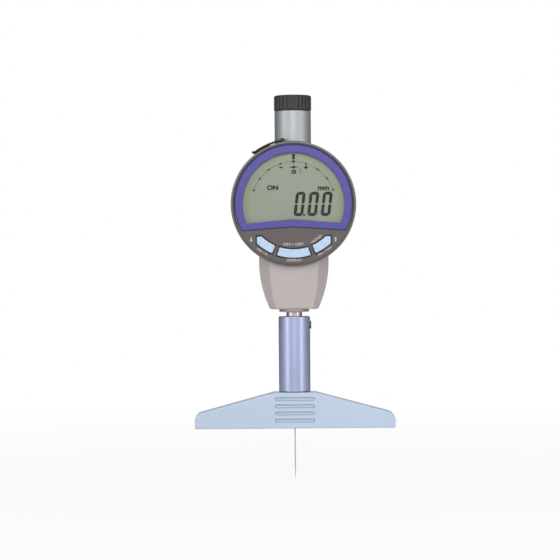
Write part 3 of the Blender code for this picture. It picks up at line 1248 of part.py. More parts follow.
def make_port(black_rubber, black, steel, head, cover_frame):
    pivot = cover_pivot()
    door = rim_sector(RIM_GAP_RADIUS, COVER_OUTER_RADIUS, COVER_DOOR_START, COVER_DOOR_END, 6)
    cover = prism(raised(door), "Y", STRAP_FRONT, DOOR_BACK)
    cover = piece("port_cover", cover, black_rubber, cover_frame, (pivot[0], STRAP_FRONT, pivot[2]))
    strap = rim_sector(RIM_GAP_RADIUS, COVER_OUTER_RADIUS, COVER_PIVOT_ANGLE, COVER_DOOR_START + 1, 5)
    add(cover, "strap", prism(raised(strap), "Y", STRAP_FRONT, STRAP_BACK))
    lip_inner = RIM_GAP_RADIUS + COVER_LIP_RISE
    lip_outer = COVER_OUTER_RADIUS + COVER_LIP_RISE
    lip = arc(COVER_OUTER_RADIUS, 180 + COVER_DOOR_END - 1, 180 + COVER_DOOR_END - 1, 1)[:1]
    lip += arc(lip_outer, 180 + COVER_LIP_END, 180 + COVER_LIP_END, 1)[:1]
    lip += arc(lip_inner, 180 + COVER_LIP_END, 180 + COVER_LIP_END, 1)[:1]
    lip += arc(RIM_GAP_RADIUS, 180 + COVER_DOOR_END - 1, 180 + COVER_DOOR_END - 1, 1)[:1]
    add(cover, "lip", prism(raised(lip), "Y", STRAP_FRONT, DOOR_BACK))
    knuckle = [(0.0, STRAP_FRONT), (KNUCKLE_RADIUS, STRAP_FRONT), (KNUCKLE_RADIUS, STRAP_BACK)]
    knuckle.append((0.0, STRAP_BACK))
    add(cover, "knuckle", turned(knuckle, TINY_SIDES, "Y", pivot))
    bore = [(0.0, STRAP_FRONT - CUT_OVERRUN), (PIN_WAY_RADIUS, STRAP_FRONT - CUT_OVERRUN)]
    bore += [(PIN_WAY_RADIUS, STRAP_BACK + CUT_OVERRUN), (0.0, STRAP_BACK + CUT_OVERRUN)]
    cut(cover, "bore", turned(bore, TINY_SIDES, "Y", pivot))
    plug_top = (RIM_GAP_RADIUS + COVER_OUTER_RADIUS) / 2
    plug = rectangle(
        PORT_WIDTH / 2 - PLUG_GAP,
        (plug_top - PLUG_FOOT_RADIUS) / 2,
        0.0,
        (0.0, (plug_top + PLUG_FOOT_RADIUS) / 2),
    )
    plug = raised(turned_about_face(plug, PORT_ANGLE))
    add(cover, "plug", prism(plug, "Y", PORT_FRONT + PLUG_GAP, PORT_BACK - PLUG_GAP))

    pin = [(0.0, STRAP_FRONT), (COVER_PIN_RADIUS, STRAP_FRONT), (COVER_PIN_RADIUS, LUG_BACK)]
    pin.append((0.0, LUG_BACK))
    origin = (pivot[0], LUG_BACK, pivot[2])
    piece("port_cover_pin", turned(pin, TINY_SIDES, "Y", pivot), steel, head, origin)

    socket_top = PLUG_FOOT_RADIUS - SEAT_GAP
    half = PORT_WIDTH / 2 - SEAT_GAP
    front = PORT_FRONT + SEAT_GAP
    back = PORT_BACK - SEAT_GAP
    flange_half = half + SOCKET_FLANGE
    flange_top = math.sqrt(CAVITY_RADIUS**2 - flange_half**2) - SEAT_GAP
    flange_foot = flange_top - SOCKET_FLANGE_THICKNESS
    stack_middle = (socket_top + flange_foot) / 2
    tower = rectangle(half, (socket_top - flange_foot) / 2, 0.0, (0.0, stack_middle))
    tower = prism(raised(turned_about_face(tower, PORT_ANGLE)), "Y", front, back)
    place = turned_about_face([(0.0, flange_foot)], PORT_ANGLE)[0]
    socket = piece("port_socket", tower, black, head, (place[0], front, FACE_HEIGHT + place[1]))
    plate = rectangle(flange_half, SOCKET_FLANGE_THICKNESS / 2, 0.0, (0.0, (flange_top + flange_foot) / 2))
    plate = prism(
        raised(turned_about_face(plate, PORT_ANGLE)),
        "Y",
        FLANGE_BACK + SEAT_GAP,
        back + SOCKET_FLANGE,
    )
    add(socket, "flange", plate)
    recess_floor = socket_top - SOCKET_RECESS
    recess_top = socket_top + CUT_OVERRUN
    recess = rectangle(
        half - SOCKET_WALL,
        (recess_top - recess_floor) / 2,
        0.0,
        (0.0, (recess_top + recess_floor) / 2),
    )
    recess = raised(turned_about_face(recess, PORT_ANGLE))
    cut(socket, "recess", prism(recess, "Y", front + SOCKET_WALL, back - SOCKET_WALL))


clear_scene()
helper_finish = finish("helper", srgb(200, 60, 60), 0.5)
base_steel = finish("base_steel", srgb(190, 200, 216), 0.38, 0.85)
sleeve_steel = finish("sleeve_steel", srgb(178, 190, 208), 0.3, 0.9)
stem_steel = finish("stem_steel", srgb(150, 152, 156), 0.3, 0.9)
spindle_steel = finish("spindle_steel", srgb(170, 172, 176), 0.25, 1.0)
needle_steel = finish("needle_steel", srgb(130, 134, 142), 0.3, 1.0)
screw_steel = finish("screw_steel", srgb(90, 90, 94), 0.4, 0.9)
spring_steel = finish("spring_steel", srgb(140, 142, 148), 0.3, 1.0)
bright_steel = finish("bright_steel", srgb(200, 202, 206), 0.25, 1.0)
bronze = finish("bronze", srgb(176, 132, 78), 0.4, 0.9)
casing_silver = finish("casing_silver", srgb(182, 181, 179), 0.42, 0.6)
tube_silver = finish("tube_silver", srgb(172, 178, 180), 0.38, 0.6)
cap_black = finish("cap_black", srgb(55, 56, 60), 0.5)
panel_black = finish("panel_black", srgb(84, 80, 84), 0.45)
frame_blue = finish("frame_blue", srgb(80, 76, 160), 0.35)
window_clear = finish("window_clear", srgb(235, 240, 240), 0.05, 0.0, 0.25)
lcd_grey = finish("lcd_grey", srgb(155, 165, 145), 0.4)
key_blue = finish("key_blue", srgb(188, 214, 238), 0.45)
rubber_black = finish("rubber_black", srgb(36, 36, 38), 0.7)
inner_black = finish("inner_black", srgb(48, 48, 50), 0.6)
board_green = finish("board_green", srgb(38, 92, 60), 0.5)
scale_amber = finish("scale_amber", srgb(170, 140, 84), 0.2)

head_frame = axis_frame("head_slide", (0, 0, TAIL_FOOT))
clamp_frame = axis_frame("clamp_screw_axis", (0, 0, CLAMP_HEIGHT))
spindle_frame = axis_frame("spindle_slide", (0, 0, SPINDLE_FOOT), head_frame)
display_frame = axis_frame("display_axis", (0, 0, FACE_HEIGHT), head_frame)
cap_lift_frame = axis_frame("cap_lift", (0, 0, CAP_FOOT), head_frame)
cap_turn_frame = axis_frame("cap_axis", (0, 0, CAP_FOOT), cap_lift_frame)
cover_frame = axis_frame("port_cover_axis", cover_pivot(), head_frame)

make_base(base_steel)
make_sleeve(sleeve_steel, screw_steel, clamp_frame)
make_stem(stem_steel, bronze, head_frame)
make_casing(casing_silver, head_frame)
make_upper_bush(bronze, head_frame)
make_tube(tube_silver, head_frame)
make_cap(cap_black, rubber_black, cap_lift_frame, cap_turn_frame)
make_spindle(spindle_steel, inner_black, needle_steel, spindle_frame)
make_carriage(inner_black, spindle_steel, scale_amber, head_frame, spindle_frame)
make_spring(spring_steel, head_frame)
make_sensor(board_green, inner_black, screw_steel, head_frame)
make_back_cover(casing_silver, screw_steel, head_frame)
make_display_housing(panel_black, display_frame)
make_face(frame_blue, window_clear, lcd_grey, display_frame)
make_keys(key_blue, rubber_black, display_frame)
make_display_inside(board_green, bright_steel, rubber_black, inner_black, display_frame)
make_port(rubber_black, inner_black, screw_steel, head_frame, cover_frame)
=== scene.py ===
import math

import bmesh
import bpy
from mathutils import Matrix, Vector


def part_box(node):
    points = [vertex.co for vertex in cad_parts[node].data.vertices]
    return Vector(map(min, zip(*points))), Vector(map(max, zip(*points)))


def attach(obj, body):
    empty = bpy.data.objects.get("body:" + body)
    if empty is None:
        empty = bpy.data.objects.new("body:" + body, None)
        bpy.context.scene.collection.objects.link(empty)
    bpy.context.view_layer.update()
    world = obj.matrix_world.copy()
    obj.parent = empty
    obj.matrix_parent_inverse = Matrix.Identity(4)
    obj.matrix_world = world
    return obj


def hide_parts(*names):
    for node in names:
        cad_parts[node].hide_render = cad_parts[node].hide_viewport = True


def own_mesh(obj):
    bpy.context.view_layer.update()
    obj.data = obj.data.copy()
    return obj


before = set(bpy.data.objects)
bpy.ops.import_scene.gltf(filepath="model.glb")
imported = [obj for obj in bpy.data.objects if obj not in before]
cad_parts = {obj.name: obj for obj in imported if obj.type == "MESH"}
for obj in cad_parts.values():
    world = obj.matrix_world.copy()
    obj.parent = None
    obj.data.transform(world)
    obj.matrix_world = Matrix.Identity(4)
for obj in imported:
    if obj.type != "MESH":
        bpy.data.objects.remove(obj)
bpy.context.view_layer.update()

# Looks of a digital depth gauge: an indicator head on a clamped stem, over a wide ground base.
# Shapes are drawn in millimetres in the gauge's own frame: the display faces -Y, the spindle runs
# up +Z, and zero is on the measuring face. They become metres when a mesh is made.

MM = 0.001

for startup in ("Cube", "Camera", "Light"):
    if startup in bpy.data.objects:
        bpy.data.objects.remove(bpy.data.objects[startup], do_unlink=True)

# Heights
FACE_Z = 113.5
BASE_END, BASE_TOP = 7.3, 18.2
SLEEVE_FOOT, SLEEVE_SEAT, SLEEVE_TOP = 6.3, 18.5, 56.7
CLAMP_Z = 52.2
NEEDLE_TIP, NEEDLE_TOP = -25.6, 8.7
STEM_FOOT, FLANGE_FOOT, FLANGE_TOP, STEM_TOP = 34.0, 58.9, 60.28, 74.0
TAIL_FOOT, TAIL_CURVE, TAIL_HEIGHT = 60.3, 23.7, 29.7
TUBE_FOOT, TUBE_SHOULDER, TUBE_TOP = 142.0, 160.8, 165.5
CAP_FOOT, CAP_TOP = 161.1, 168.8

# Depths
BASE_FRONT, BASE_BACK = -8.0, 8.0
BEZEL_FRONT, BEZEL_BACK, SPIGOT_END, PLATE_BACK = -17.0, -12.8, -6.7, -15.0
FRAME_FRONT, FRAME_BACK = -17.7, -16.7
WINDOW_FRONT, WINDOW_BACK = -16.4, -15.2
LCD_FRONT, LCD_SHOULDER, LCD_BACK = -15.1, -14.7, -13.4
KEY_FRONT, KEY_SHOULDER, KEY_BACK = -17.4, -14.7, -14.3
BORDER_FRONT, BORDER_BACK = -16.8, -16.72
CASING_FRONT, RIM_BACK, CASING_BACK = -12.5, -11.4, 11.0
COVER_FRONT, COVER_BACK = 11.3, 12.9

# Radii, and half widths
BASE_HALF, BASE_TOP_HALF = 50.75, 10.5
CASING_R, RIM_BORE_R, CAVITY_R = 31.65, 30.0, 27.5
BEZEL_R, SPIGOT_R, GROOVE_R, FRAME_R, WINDOW_R = 30.6, 29.7, 28.9, 29.3, 25.5
SLEEVE_R, SLEEVE_BORE_R, STEM_R, FLANGE_R = 8.0, 4.3, 4.0, 7.6
TUBE_R, TUBE_NECK_R, CAP_R = 9.25, 7.5, 9.5
BACK_SCREW_CIRCLE = 29.2

# The roof lines that end the window and the blue frame: their drop below the face's centre, and slope
WINDOW_DROP, WINDOW_SLOPE = 8.0, 5.0
BAR_DROP, BAR_SLOPE = 11.7, 4.0

# The keys' arcs, the centre key's half angle, and a side key's first angle, top and outer edge
KEY_INNER_R, KEY_OUTER_R = 23.0, 27.3
CENTRE_KEY_HALF, SIDE_KEY_START, SIDE_KEY_DROP, SIDE_KEY_REACH = 18, 23.75, 16.5, 18.5

# The port cover's pin and the port, counted round the rim from straight up, in degrees
PIN_R, PIN_ANGLE, PORT_ANGLE = 32.8, 9.5, 29.5
COVER_R = 32.5

SPINDLE_TRAVEL = 26
ROUND, DRUM_SIDES = 160, 192
INK = 0.04


# Meshes


def neighbours(count):
    return zip(range(count), [*range(1, count), 0])


def linked(name, data):
    made = bpy.data.objects.new(name, data)
    bpy.context.scene.collection.objects.link(made)
    return made


def solid(name, shape):
    """Makes an object of a shape drawn in millimetres, with its faces outwards."""
    bmesh.ops.remove_doubles(shape, verts=shape.verts, dist=1e-4)
    bmesh.ops.recalc_face_normals(shape, faces=shape.faces)
    bmesh.ops.scale(shape, verts=shape.verts, vec=(MM, MM, MM))
    mesh = bpy.data.meshes.new(name)
    shape.to_mesh(mesh)
    shape.free()
    return linked(name, mesh)


def lathe(name, profile, sides=ROUND, axis="Z", centre=(0, 0, 0)):
    """Turns a profile of (radius, place along the axis) points. A flat end on the axis is one face."""
    shape = bmesh.new()
    orders = {
        "X": lambda a, b, c: (c, b, -a), "Y": lambda a, b, c: (a, c, -b), "Z": lambda a, b, c: (a, b, c),
    }
    turns = [2 * math.pi * step / sides for step in range(sides)]

    def corner(radius, turn, along):
        return Vector(orders[axis](radius * math.cos(turn), radius * math.sin(turn), along)) + Vector(centre)

    rings = []
    for radius, along in profile:
        if radius < 1e-6:
            rings.append([shape.verts.new(corner(0, 0, along))] * sides)
        else:
            rings.append([shape.verts.new(corner(radius, turn, along)) for turn in turns])
    pairs = list(zip(profile, profile[1:], rings, rings[1:]))
    if profile[0][0] > 0:
        pairs.append((profile[-1], profile[0], rings[-1], rings[0]))
    for first, last, low, high in pairs:
        if first[1] == last[1] and 0 in (first[0], last[0]):
            shape.faces.new(high if first[0] == 0 else low)
            continue
        for start, end in neighbours(sides):
            corners = dict.fromkeys((low[start], low[end], high[end], high[start]))
            if len(corners) > 2:
                shape.faces.new(corners)
    loose = [vertex for vertex in shape.verts if not vertex.link_faces]
    bmesh.ops.delete(shape, geom=loose, context="VERTS")
    return solid(name, shape)


def drum(name, profile):
    """Turns a profile about the display's axis."""
    return lathe(name, profile, DRUM_SIDES, "Y", (0, 0, FACE_Z))


def bore(low, *steps):
    """A stepped profile on the axis, from low up: each step is (radius, where it ends)."""
    profile = [(0, low)]
    for radius, end in steps:
        profile += [(radius, low), (radius, end)]
        low = end
    return [*profile, (0, low)]


def skinned(shape, rings):
    """Skins rings of equally many corners, and closes both ends."""
    for low, high in zip(rings, rings[1:]):
        for start, end in neighbours(len(low)):
            shape.faces.new((low[start], low[end], high[end], high[start]))
    shape.faces.new(rings[0][::-1])
    shape.faces.new(rings[-1])


def prism(name, outline, low, high, axis="Y"):
    shape = bmesh.new()
    order = {"Y": lambda a, b, c: (a, c, b), "Z": lambda a, b, c: (a, b, c)}[axis]
    skinned(shape, [[shape.verts.new(order(*point, along)) for point in outline] for along in (low, high)])
    return solid(name, shape)


def baked(made):
    """Keeps a piece's finished shape as plain mesh."""
    graph = bpy.context.evaluated_depsgraph_get()
    mesh = bpy.data.meshes.new_from_object(made.evaluated_get(graph))
    made.modifiers.clear()
    made.data = mesh
    return made


def joined_by(made, operation, helpers):
    """Cuts or fuses in millimetres, because shapes that measure a few thousandths would crack."""
    made.data.transform(Matrix.Scale(1 / MM, 4))
    for helper in helpers:
        helper.data.transform(Matrix.Scale(1 / MM, 4))
        modifier = made.modifiers.new(helper.name, "BOOLEAN")
        modifier.operation = operation
        modifier.solver = "EXACT"
        modifier.object = helper
        baked(made)
        bpy.data.objects.remove(helper, do_unlink=True)
    made.data.transform(Matrix.Scale(MM, 4))
    return made


def carved(made, *cutters):
    return joined_by(made, "DIFFERENCE", cutters)


def fused(made, *others):
    return joined_by(made, "UNION", others)


def softened(made, width, steps=3, angle=30):
    modifier = made.modifiers.new("edges", "BEVEL")
    modifier.width = width * MM
    modifier.segments = steps
    modifier.limit_method = "ANGLE"
    modifier.angle_limit = math.radians(angle)
    return baked(made)


def merged(name, parts):
    """Joins loose parts, such as printed marks, into one mesh."""
    shape = bmesh.new()
    for part in parts:
        shape.from_mesh(part.data)
        bpy.data.objects.remove(part, do_unlink=True)
    mesh = bpy.data.meshes.new(name)
    shape.to_mesh(mesh)
    shape.free()
    return linked(name, mesh)


def dress(made, material, body, slot, *replaced, crease=35):
    """Gives a finished mesh its material and its body, and hides the nodes it stands for. The slot argument
    is not used.
    """
    made.data.materials.clear()
    made.data.materials.append(material)
    made.data.polygons.foreach_set("material_index", [0] * len(made.data.polygons))
    made.data.shade_smooth()
    made.data.set_sharp_from_angle(angle=math.radians(crease))
    weighted = made.modifiers.new("flat_faces", "WEIGHTED_NORMAL")
    weighted.keep_sharp = True
    baked(made)
    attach(made, body)
    if replaced:
        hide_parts(*replaced)
    return made


# Outlines


def arc(radius, first, last, steps):
    """Points on a circle, in degrees counted from straight down towards +X."""
    angles = (math.radians(first + (last - first) * step / steps) for step in range(steps + 1))
    return [(radius * math.sin(a), -radius * math.cos(a)) for a in angles]


def rounded(corners, steps=6):
    """Rounds each corner of an outline: the corners are (across, up, radius)."""
    outline = []
    for index, (across, up, radius) in enumerate(corners):
        corner = Vector((across, up))
        if radius == 0:
            outline.append(tuple(corner))
            continue
        before = (Vector(corners[index - 1][:2]) - corner).normalized()
        after = (Vector(corners[(index + 1) % len(corners)][:2]) - corner).normalized()
        half = before.angle(after) / 2
        centre = corner + (before + after).normalized() * (radius / math.sin(half))
        first = corner + before * (radius / math.tan(half)) - centre
        last = corner + after * (radius / math.tan(half)) - centre
        sweep = first.angle_signed(last)
        turns = (Matrix.Rotation(-sweep * step / steps, 2) for step in range(steps + 1))
        outline += [tuple(centre + turn @ first) for turn in turns]
    return outline


def box_outline(half_width, half_height, radius=0.0, centre=(0.0, 0.0)):
    signs = ((-1, -1), (1, -1), (1, 1), (-1, 1))
    return rounded([(centre[0] + x * half_width, centre[1] + y * half_height, radius) for x, y in signs])


def dome(radius, drop, slope, steps=96):
    """A disc cut off below by a shallow roof line, drop under its centre at the middle."""
    pitch = math.tan(math.radians(slope))
    spread = 1 + pitch**2
    reach = (-drop * pitch + math.sqrt((drop * pitch) ** 2 - spread * (drop**2 - radius**2))) / spread
    corner = math.degrees(math.atan2(reach, drop + reach * pitch))
    return [*arc(radius, corner, 360 - corner, steps), (0.0, -drop)]


def raised(outline, height=FACE_Z):
    return [(across, up + height) for across, up in outline]


def turned_about_face(outline, angle):
    turn = Matrix.Rotation(math.radians(angle), 2)
    return [tuple(turn @ Vector(point)) for point in outline]


def window_outline(grow):
    return raised(dome(WINDOW_R + grow, WINDOW_DROP + grow, WINDOW_SLOPE))


def frame_outline(grow):
    return raised(dome(FRAME_R + grow, BAR_DROP + grow, BAR_SLOPE))


def key_outline(side, grow, steps=10):
    """A key's outline: side is -1, 0 or 1, and grow widens it all round."""
    inner, outer = KEY_INNER_R - grow, KEY_OUTER_R + grow
    lean = math.degrees(grow / ((inner + outer) / 2))
    if side == 0:
        last = CENTRE_KEY_HALF + lean
        return raised(arc(outer, -last, last, 2 * steps) + arc(inner, last, -last, 2 * steps))
    first, drop, reach = SIDE_KEY_START - lean, SIDE_KEY_DROP - grow, SIDE_KEY_REACH + grow
    outer_end = math.degrees(math.asin(reach / outer))
    inner_end = math.degrees(math.acos(drop / inner))
    outline = arc(outer, first, outer_end, steps) + [(reach, -drop)] + arc(inner, inner_end, first, steps)
    if side < 0:
        outline = [(-across, up) for across, up in reversed(outline)]
    return raised(outline)


# Node trees


class Figure:
    """A number or other value inside a node tree. Sums with it become part of the tree."""

    def __init__(self, tree, socket):
        self.tree, self.socket = tree, socket

    def by(self, operation, *values):
        return figure(self.tree, "ShaderNodeMath", dict(enumerate((self, *values))), operation=operation)

    def __add__(self, other):
        return self.by("ADD", other)

    def __sub__(self, other):
        return self.by("SUBTRACT", other)

    def __mul__(self, other):
        return self.by("MULTIPLY", other)

    def __truediv__(self, other):
        return self.by("DIVIDE", other)

    def __pow__(self, other):
        return self.by("POWER", other)

    def ranged(self, low, high, first=0.0, last=1.0, **settings):
        """Carries low to first and high to last, and stays between these."""
        limits = {"Value": self, "From Min": low, "From Max": high, "To Min": first, "To Max": last}
        return figure(self.tree, "ShaderNodeMapRange", limits, **settings)


def node(tree, kind, inputs=None, **settings):
    """Adds a node, whose kind may be said without the tree's own prefix. A figure or node given as an
    input is linked to it."""
    if "Node" not in kind:
        kind = tree.bl_idname.replace("NodeTree", "Node") + kind
    made = tree.nodes.new(kind)
    for name, value in settings.items():
        setattr(made, name, value)
    for slot, value in (inputs or {}).items():
        if isinstance(value, Figure):
            value = value.socket
        elif isinstance(value, bpy.types.Node):
            value = value.outputs[0]
        if isinstance(value, bpy.types.NodeSocket):
            tree.links.new(value, made.inputs[slot])
        else:
            made.inputs[slot].default_value = value
    return made


def figure(tree, kind, inputs=None, output=0, **settings):
    return Figure(tree, node(tree, kind, inputs, **settings).outputs[output])


def vector(tree, across=0.0, deep=0.0, up=0.0):
    return figure(tree, "ShaderNodeCombineXYZ", {0: across, 1: deep, 2: up})


def axes(tree, place):
    return [Figure(tree, socket) for socket in node(tree, "ShaderNodeSeparateXYZ", {0: place}).outputs]


def length(tree, flat):
    return figure(tree, "ShaderNodeVectorMath", {0: flat}, "Value", operation="LENGTH")


def geometry_tree(name, sizes):
    """A Geometry Nodes tree with a named input for each size."""
    tree = bpy.data.node_groups.new(name, "GeometryNodeTree")
    tree.interface.new_socket("Geometry", in_out="INPUT", socket_type="NodeSocketGeometry")
    for label, value in sizes.items():
        kind = {int: "NodeSocketInt", float: "NodeSocketFloat"}.get(type(value), "NodeSocketObject")
        tree.interface.new_socket(label, in_out="INPUT", socket_type=kind)
    tree.interface.new_socket("Geometry", in_out="OUTPUT", socket_type="NodeSocketGeometry")
    given = tree.nodes.new("NodeGroupInput").outputs
    return tree, {label: Figure(tree, given[label]) for label in ("Geometry", *sizes)}


def grown(made, tree, geometry, material, sizes):
    """Ends a tree, runs it on a piece with these sizes, and keeps the result as plain mesh."""
    real = node(tree, "RealizeInstances", {0: geometry})
    painted = node(tree, "SetMaterial", {0: real, "Material": material})
    node(tree, "NodeGroupOutput", {0: painted})
    modifier = made.modifiers.new(tree.name, "NODES")
    modifier.node_group = tree
    for item in tree.interface.items_tree:
        if item.in_out == "INPUT" and item.name in sizes:
            modifier[item.identifier] = sizes[item.name]
    return baked(made)


# Finishes


def srgb(red, green, blue):
    shares = (value / 255 for value in (red, green, blue))
    return (*(((s + 0.055) / 1.055) ** 2.4 if s > 0.04045 else s / 12.92 for s in shares), 1.0)


def blended(tree, share, first, second):
    return node(tree, "Mix", {"Factor": share, 6: first, 7: second}, data_type="RGBA").outputs[2]


def drifting(tree, colour, tone, drift):
    """A colour that drifts a little darker and lighter over the surface."""
    dark = [c * (1 - tone) for c in colour[:3]] + [1.0]
    light = [min(c * (1 + tone), 1.0) for c in colour[:3]] + [1.0]
    return blended(tree, drift, dark, light)


def finish(
    name, colour, rough=0.5, metal=0.0, grain=400, bump=0.1, depth=0.02, tone=0.06, mottle=60.0,
    spread=0.06, ring=False, shine=0.5, tint=(1.0, 1.0, 1.0, 1.0), alpha=1.0, inner=None,
):
    """A worked surface. The grain sets how fine its marks run, per metre, along each axis or along
    all, and tone how far its colour drifts. With ring, the marks run round the display's axis, as on
    a face that was turned. With inner (colour, radius, blur, low), it has that colour inside that
    radius about an axis that runs low below the display's."""
    material = bpy.data.materials.new(name)
    material.use_nodes = True
    tree = material.node_tree
    shader = tree.nodes["Principled BSDF"]
    colour = srgb(*colour)
    plain_values = {"Metallic": metal, "Specular IOR Level": shine, "Specular Tint": tint, "Alpha": alpha}
    for label, value in plain_values.items():
        shader.inputs[label].default_value = value
    place = figure(tree, "TexCoord", output="Object")
    if ring:
        place = node(tree, "Mapping", {0: place, "Location": (0, 0, -FACE_Z * MM)})
        across, deep, up = axes(tree, place)
        far = (across**2.0 + up**2.0).by("SQRT")
        marks = vector(tree, far * float(grain[0]), deep * float(grain[1]))
    else:
        marks = node(tree, "Mapping", {0: place, "Scale": grain if isinstance(grain, tuple) else [grain] * 3})
    fine = figure(tree, "TexNoise", {"Vector": marks, "Scale": 1.0, "Detail": 4.0, "Roughness": 0.6})
    broad = figure(tree, "TexNoise", {"Vector": place, "Scale": mottle, "Detail": 3.0})
    mixed = fine * 0.5 + broad * 0.5
    drift = mixed.ranged(0.35, 0.65)
    paint = drifting(tree, colour, tone, drift)
    if inner:
        inside, limit, blur, low = inner
        across, deep, up = axes(tree, place)
        far = length(tree, vector(tree, across, up - (FACE_Z - low) * MM))
        share = far.ranged((limit - blur) * MM, (limit + blur) * MM)
        paint = blended(tree, share, drifting(tree, srgb(*inside), tone, drift), paint)
    relief = node(tree, "Bump", {"Strength": bump, "Distance": depth * MM, "Height": fine})
    tree.links.new(paint, shader.inputs["Base Color"])
    tree.links.new(mixed.ranged(0.3, 0.7, rough - spread, rough + spread).socket, shader.inputs["Roughness"])
    tree.links.new(relief.outputs[0], shader.inputs["Normal"])
    material.diffuse_color = colour
    return material


grey = (0.4, 0.42, 0.46, 1.0)
ground, turned = (60, 2200, 2200), (30, 30, 3800)
base_steel = finish(
    "ground_base_steel", (189, 204, 222), 0.45, 0.35, ground, 0.06, 0.008, 0.025, 40, tint=grey, shine=0.2
)
# Painted shade: a darker copy of the base steel that lines the grip slots' walls, standing in for the shade
# inside the slots
slot_steel = finish("slot_steel", (146, 158, 178), 0.55, 0.35, ground, 0.06, 0.008, 0.04, shine=0.2)
sleeve_steel = finish(
    "turned_sleeve_steel", (163, 170, 201), 0.34, 0.7, turned, 0.02, 0.005, 0.03, 50, tint=grey
)
stem_steel = finish(
    "turned_stem_steel", (180, 170, 172), 0.26, 0.95, (30, 30, 5200), 0.05, 0.006, 0.04, tint=grey
)
flange_steel = finish(
    "flange_steel", (172, 150, 152), 0.5, 0.3, (300, 300, 2600), 0.05, 0.006, 0.04, shine=0.3
)
needle_steel = finish("needle_steel", (172, 166, 160), 0.34, 0.8, (900, 900, 60), 0.05, 0.004)
screw_steel = finish("black_screw_steel", (78, 76, 82), 0.4, 0.8, 800, 0.1, 0.01)
spring_steel = finish("spring_steel", (150, 152, 158), 0.3, 1.0, 200, 0.05, 0.006)
nickel = finish("nickel_plate", (205, 206, 210), 0.22, 1.0, 300, 0.04, 0.006, 0.03)
bronze = finish("sintered_bronze", (176, 132, 78), 0.42, 0.9, 1500, 0.15, 0.01, 0.1)
casing_paint = finish("casing_paint", (190, 181, 180), 0.42, 0.3, 1800, 0.07, 0.012, 0.04, 90, tint=grey)
# Painted shade: a darker copy of the casing paint for the drum's front rim, standing in for the shade on the
# rim's side
rim_paint = finish("rim_paint", (136, 128, 126), 0.42, 0.3, 1800, 0.07, 0.012, 0.05, 90, tint=grey)
cover_paint = finish("cover_paint", (186, 183, 181), 0.38, 0.35, (3800, 400), 0.12, 0.01, 0.05, ring=True)
tube_paint = finish(
    "tube_paint", (160, 165, 166), 0.5, 0.78, (60, 60, 2400), 0.04, 0.008, 0.04, 80, tint=grey
)
cap_plastic = finish("cap_plastic", (36, 36, 41), 0.42, 0.0, 1500, 0.2, 0.02, 0.14, shine=0.38)
panel_colour = ((100, 94, 91), 29.4, 0.08, 2.5)
bezel_plastic = finish(
    "bezel_plastic", (58, 56, 76), 0.45, 0.0, 2200, 0.16, 0.015, 0.07, shine=0.3, inner=panel_colour
)
frame_blue = finish("frame_blue", (86, 81, 161), 0.36, 0.0, 1600, 0.06, 0.01, 0.05, 50, shine=0.3)
key_rubber = finish("key_rubber", (196, 221, 246), 0.42, 0.0, 1400, 0.08, 0.01, 0.03)
key_border = finish("key_border", (60, 62, 92), 0.5, 0.0, 1400, 0.1, 0.01)
field_colour = ((157, 163, 146), 20.6, 0.9, 0.0)
lcd_glass = finish("lcd_glass", (157, 168, 142), 0.4, 0.0, 260, 0.02, 0.004, 0.025, 25, inner=field_colour)
lcd_ink = finish("lcd_ink", (32, 38, 35), 0.6, 0.0, 900, 0.03, 0.004, 0.05, shine=0.1)
faint_ink = finish("faint_ink", (62, 68, 60), 0.6, 0.0, 900, 0.03, 0.004, 0.05, shine=0.1)
print_white = finish("print_white", (212, 206, 204), 0.5, 0.0, 1200, 0.05, 0.004)
print_red = finish("print_red", (200, 56, 48), 0.5, 0.0, 1200, 0.05, 0.004)
cover_rubber = finish("cover_rubber", (52, 46, 46), 0.55, 0.0, 1500, 0.15, 0.015, 0.12, shine=0.2)
black_rubber = finish("black_rubber", (34, 34, 36), 0.65, 0.0, 1200, 0.2, 0.02, 0.1)
inner_plastic = finish("inner_plastic", (46, 46, 48), 0.55, 0.0, 1200, 0.15, 0.015, 0.08)
board_green = finish("board_green", (38, 92, 60), 0.4, 0.0, 260, 0.1, 0.01, 0.12, 300)
scale_glass = finish("scale_glass", (170, 140, 84), 0.2, 0.2, (60, 60, 3000), 0.1, 0.006, 0.1)
window_clear = finish(
    "window_clear", (150, 158, 152), 0.08, 0.0, 80, 0.01, 0.002, 0.01, spread=0.02, alpha=0.05
)


# The base, its sleeve and the needle


def slot_rows(name, pattern):
    """A tree that sets a pattern at the grip slots: four below each other, on the front and on the back."""
    sizes = {
        "Pattern": pattern, "Count": 4, "Pitch": 3.6 * MM, "Top": 14.85 * MM, "Half Depth": BASE_BACK * MM,
    }
    tree, given = geometry_tree(name, sizes)
    down = vector(tree, up=given["Pitch"] * -1.0)
    both = node(tree, "JoinGeometry")
    for side, turn in ((1.0, 0.0), (-1.0, math.pi)):
        start = vector(tree, deep=given["Half Depth"] * side, up=given["Top"])
        line = node(tree, "MeshLine", {"Count": given["Count"], "Start Location": start, "Offset": down})
        shape = node(tree, "ObjectInfo", {"Object": given["Pattern"]}).outputs["Geometry"]
        row = node(tree, "InstanceOnPoints", {"Points": line, "Instance": shape, "Rotation": (0, 0, turn)})
        tree.links.new(row.outputs[0], both.inputs[0])
    return tree, given, both, sizes


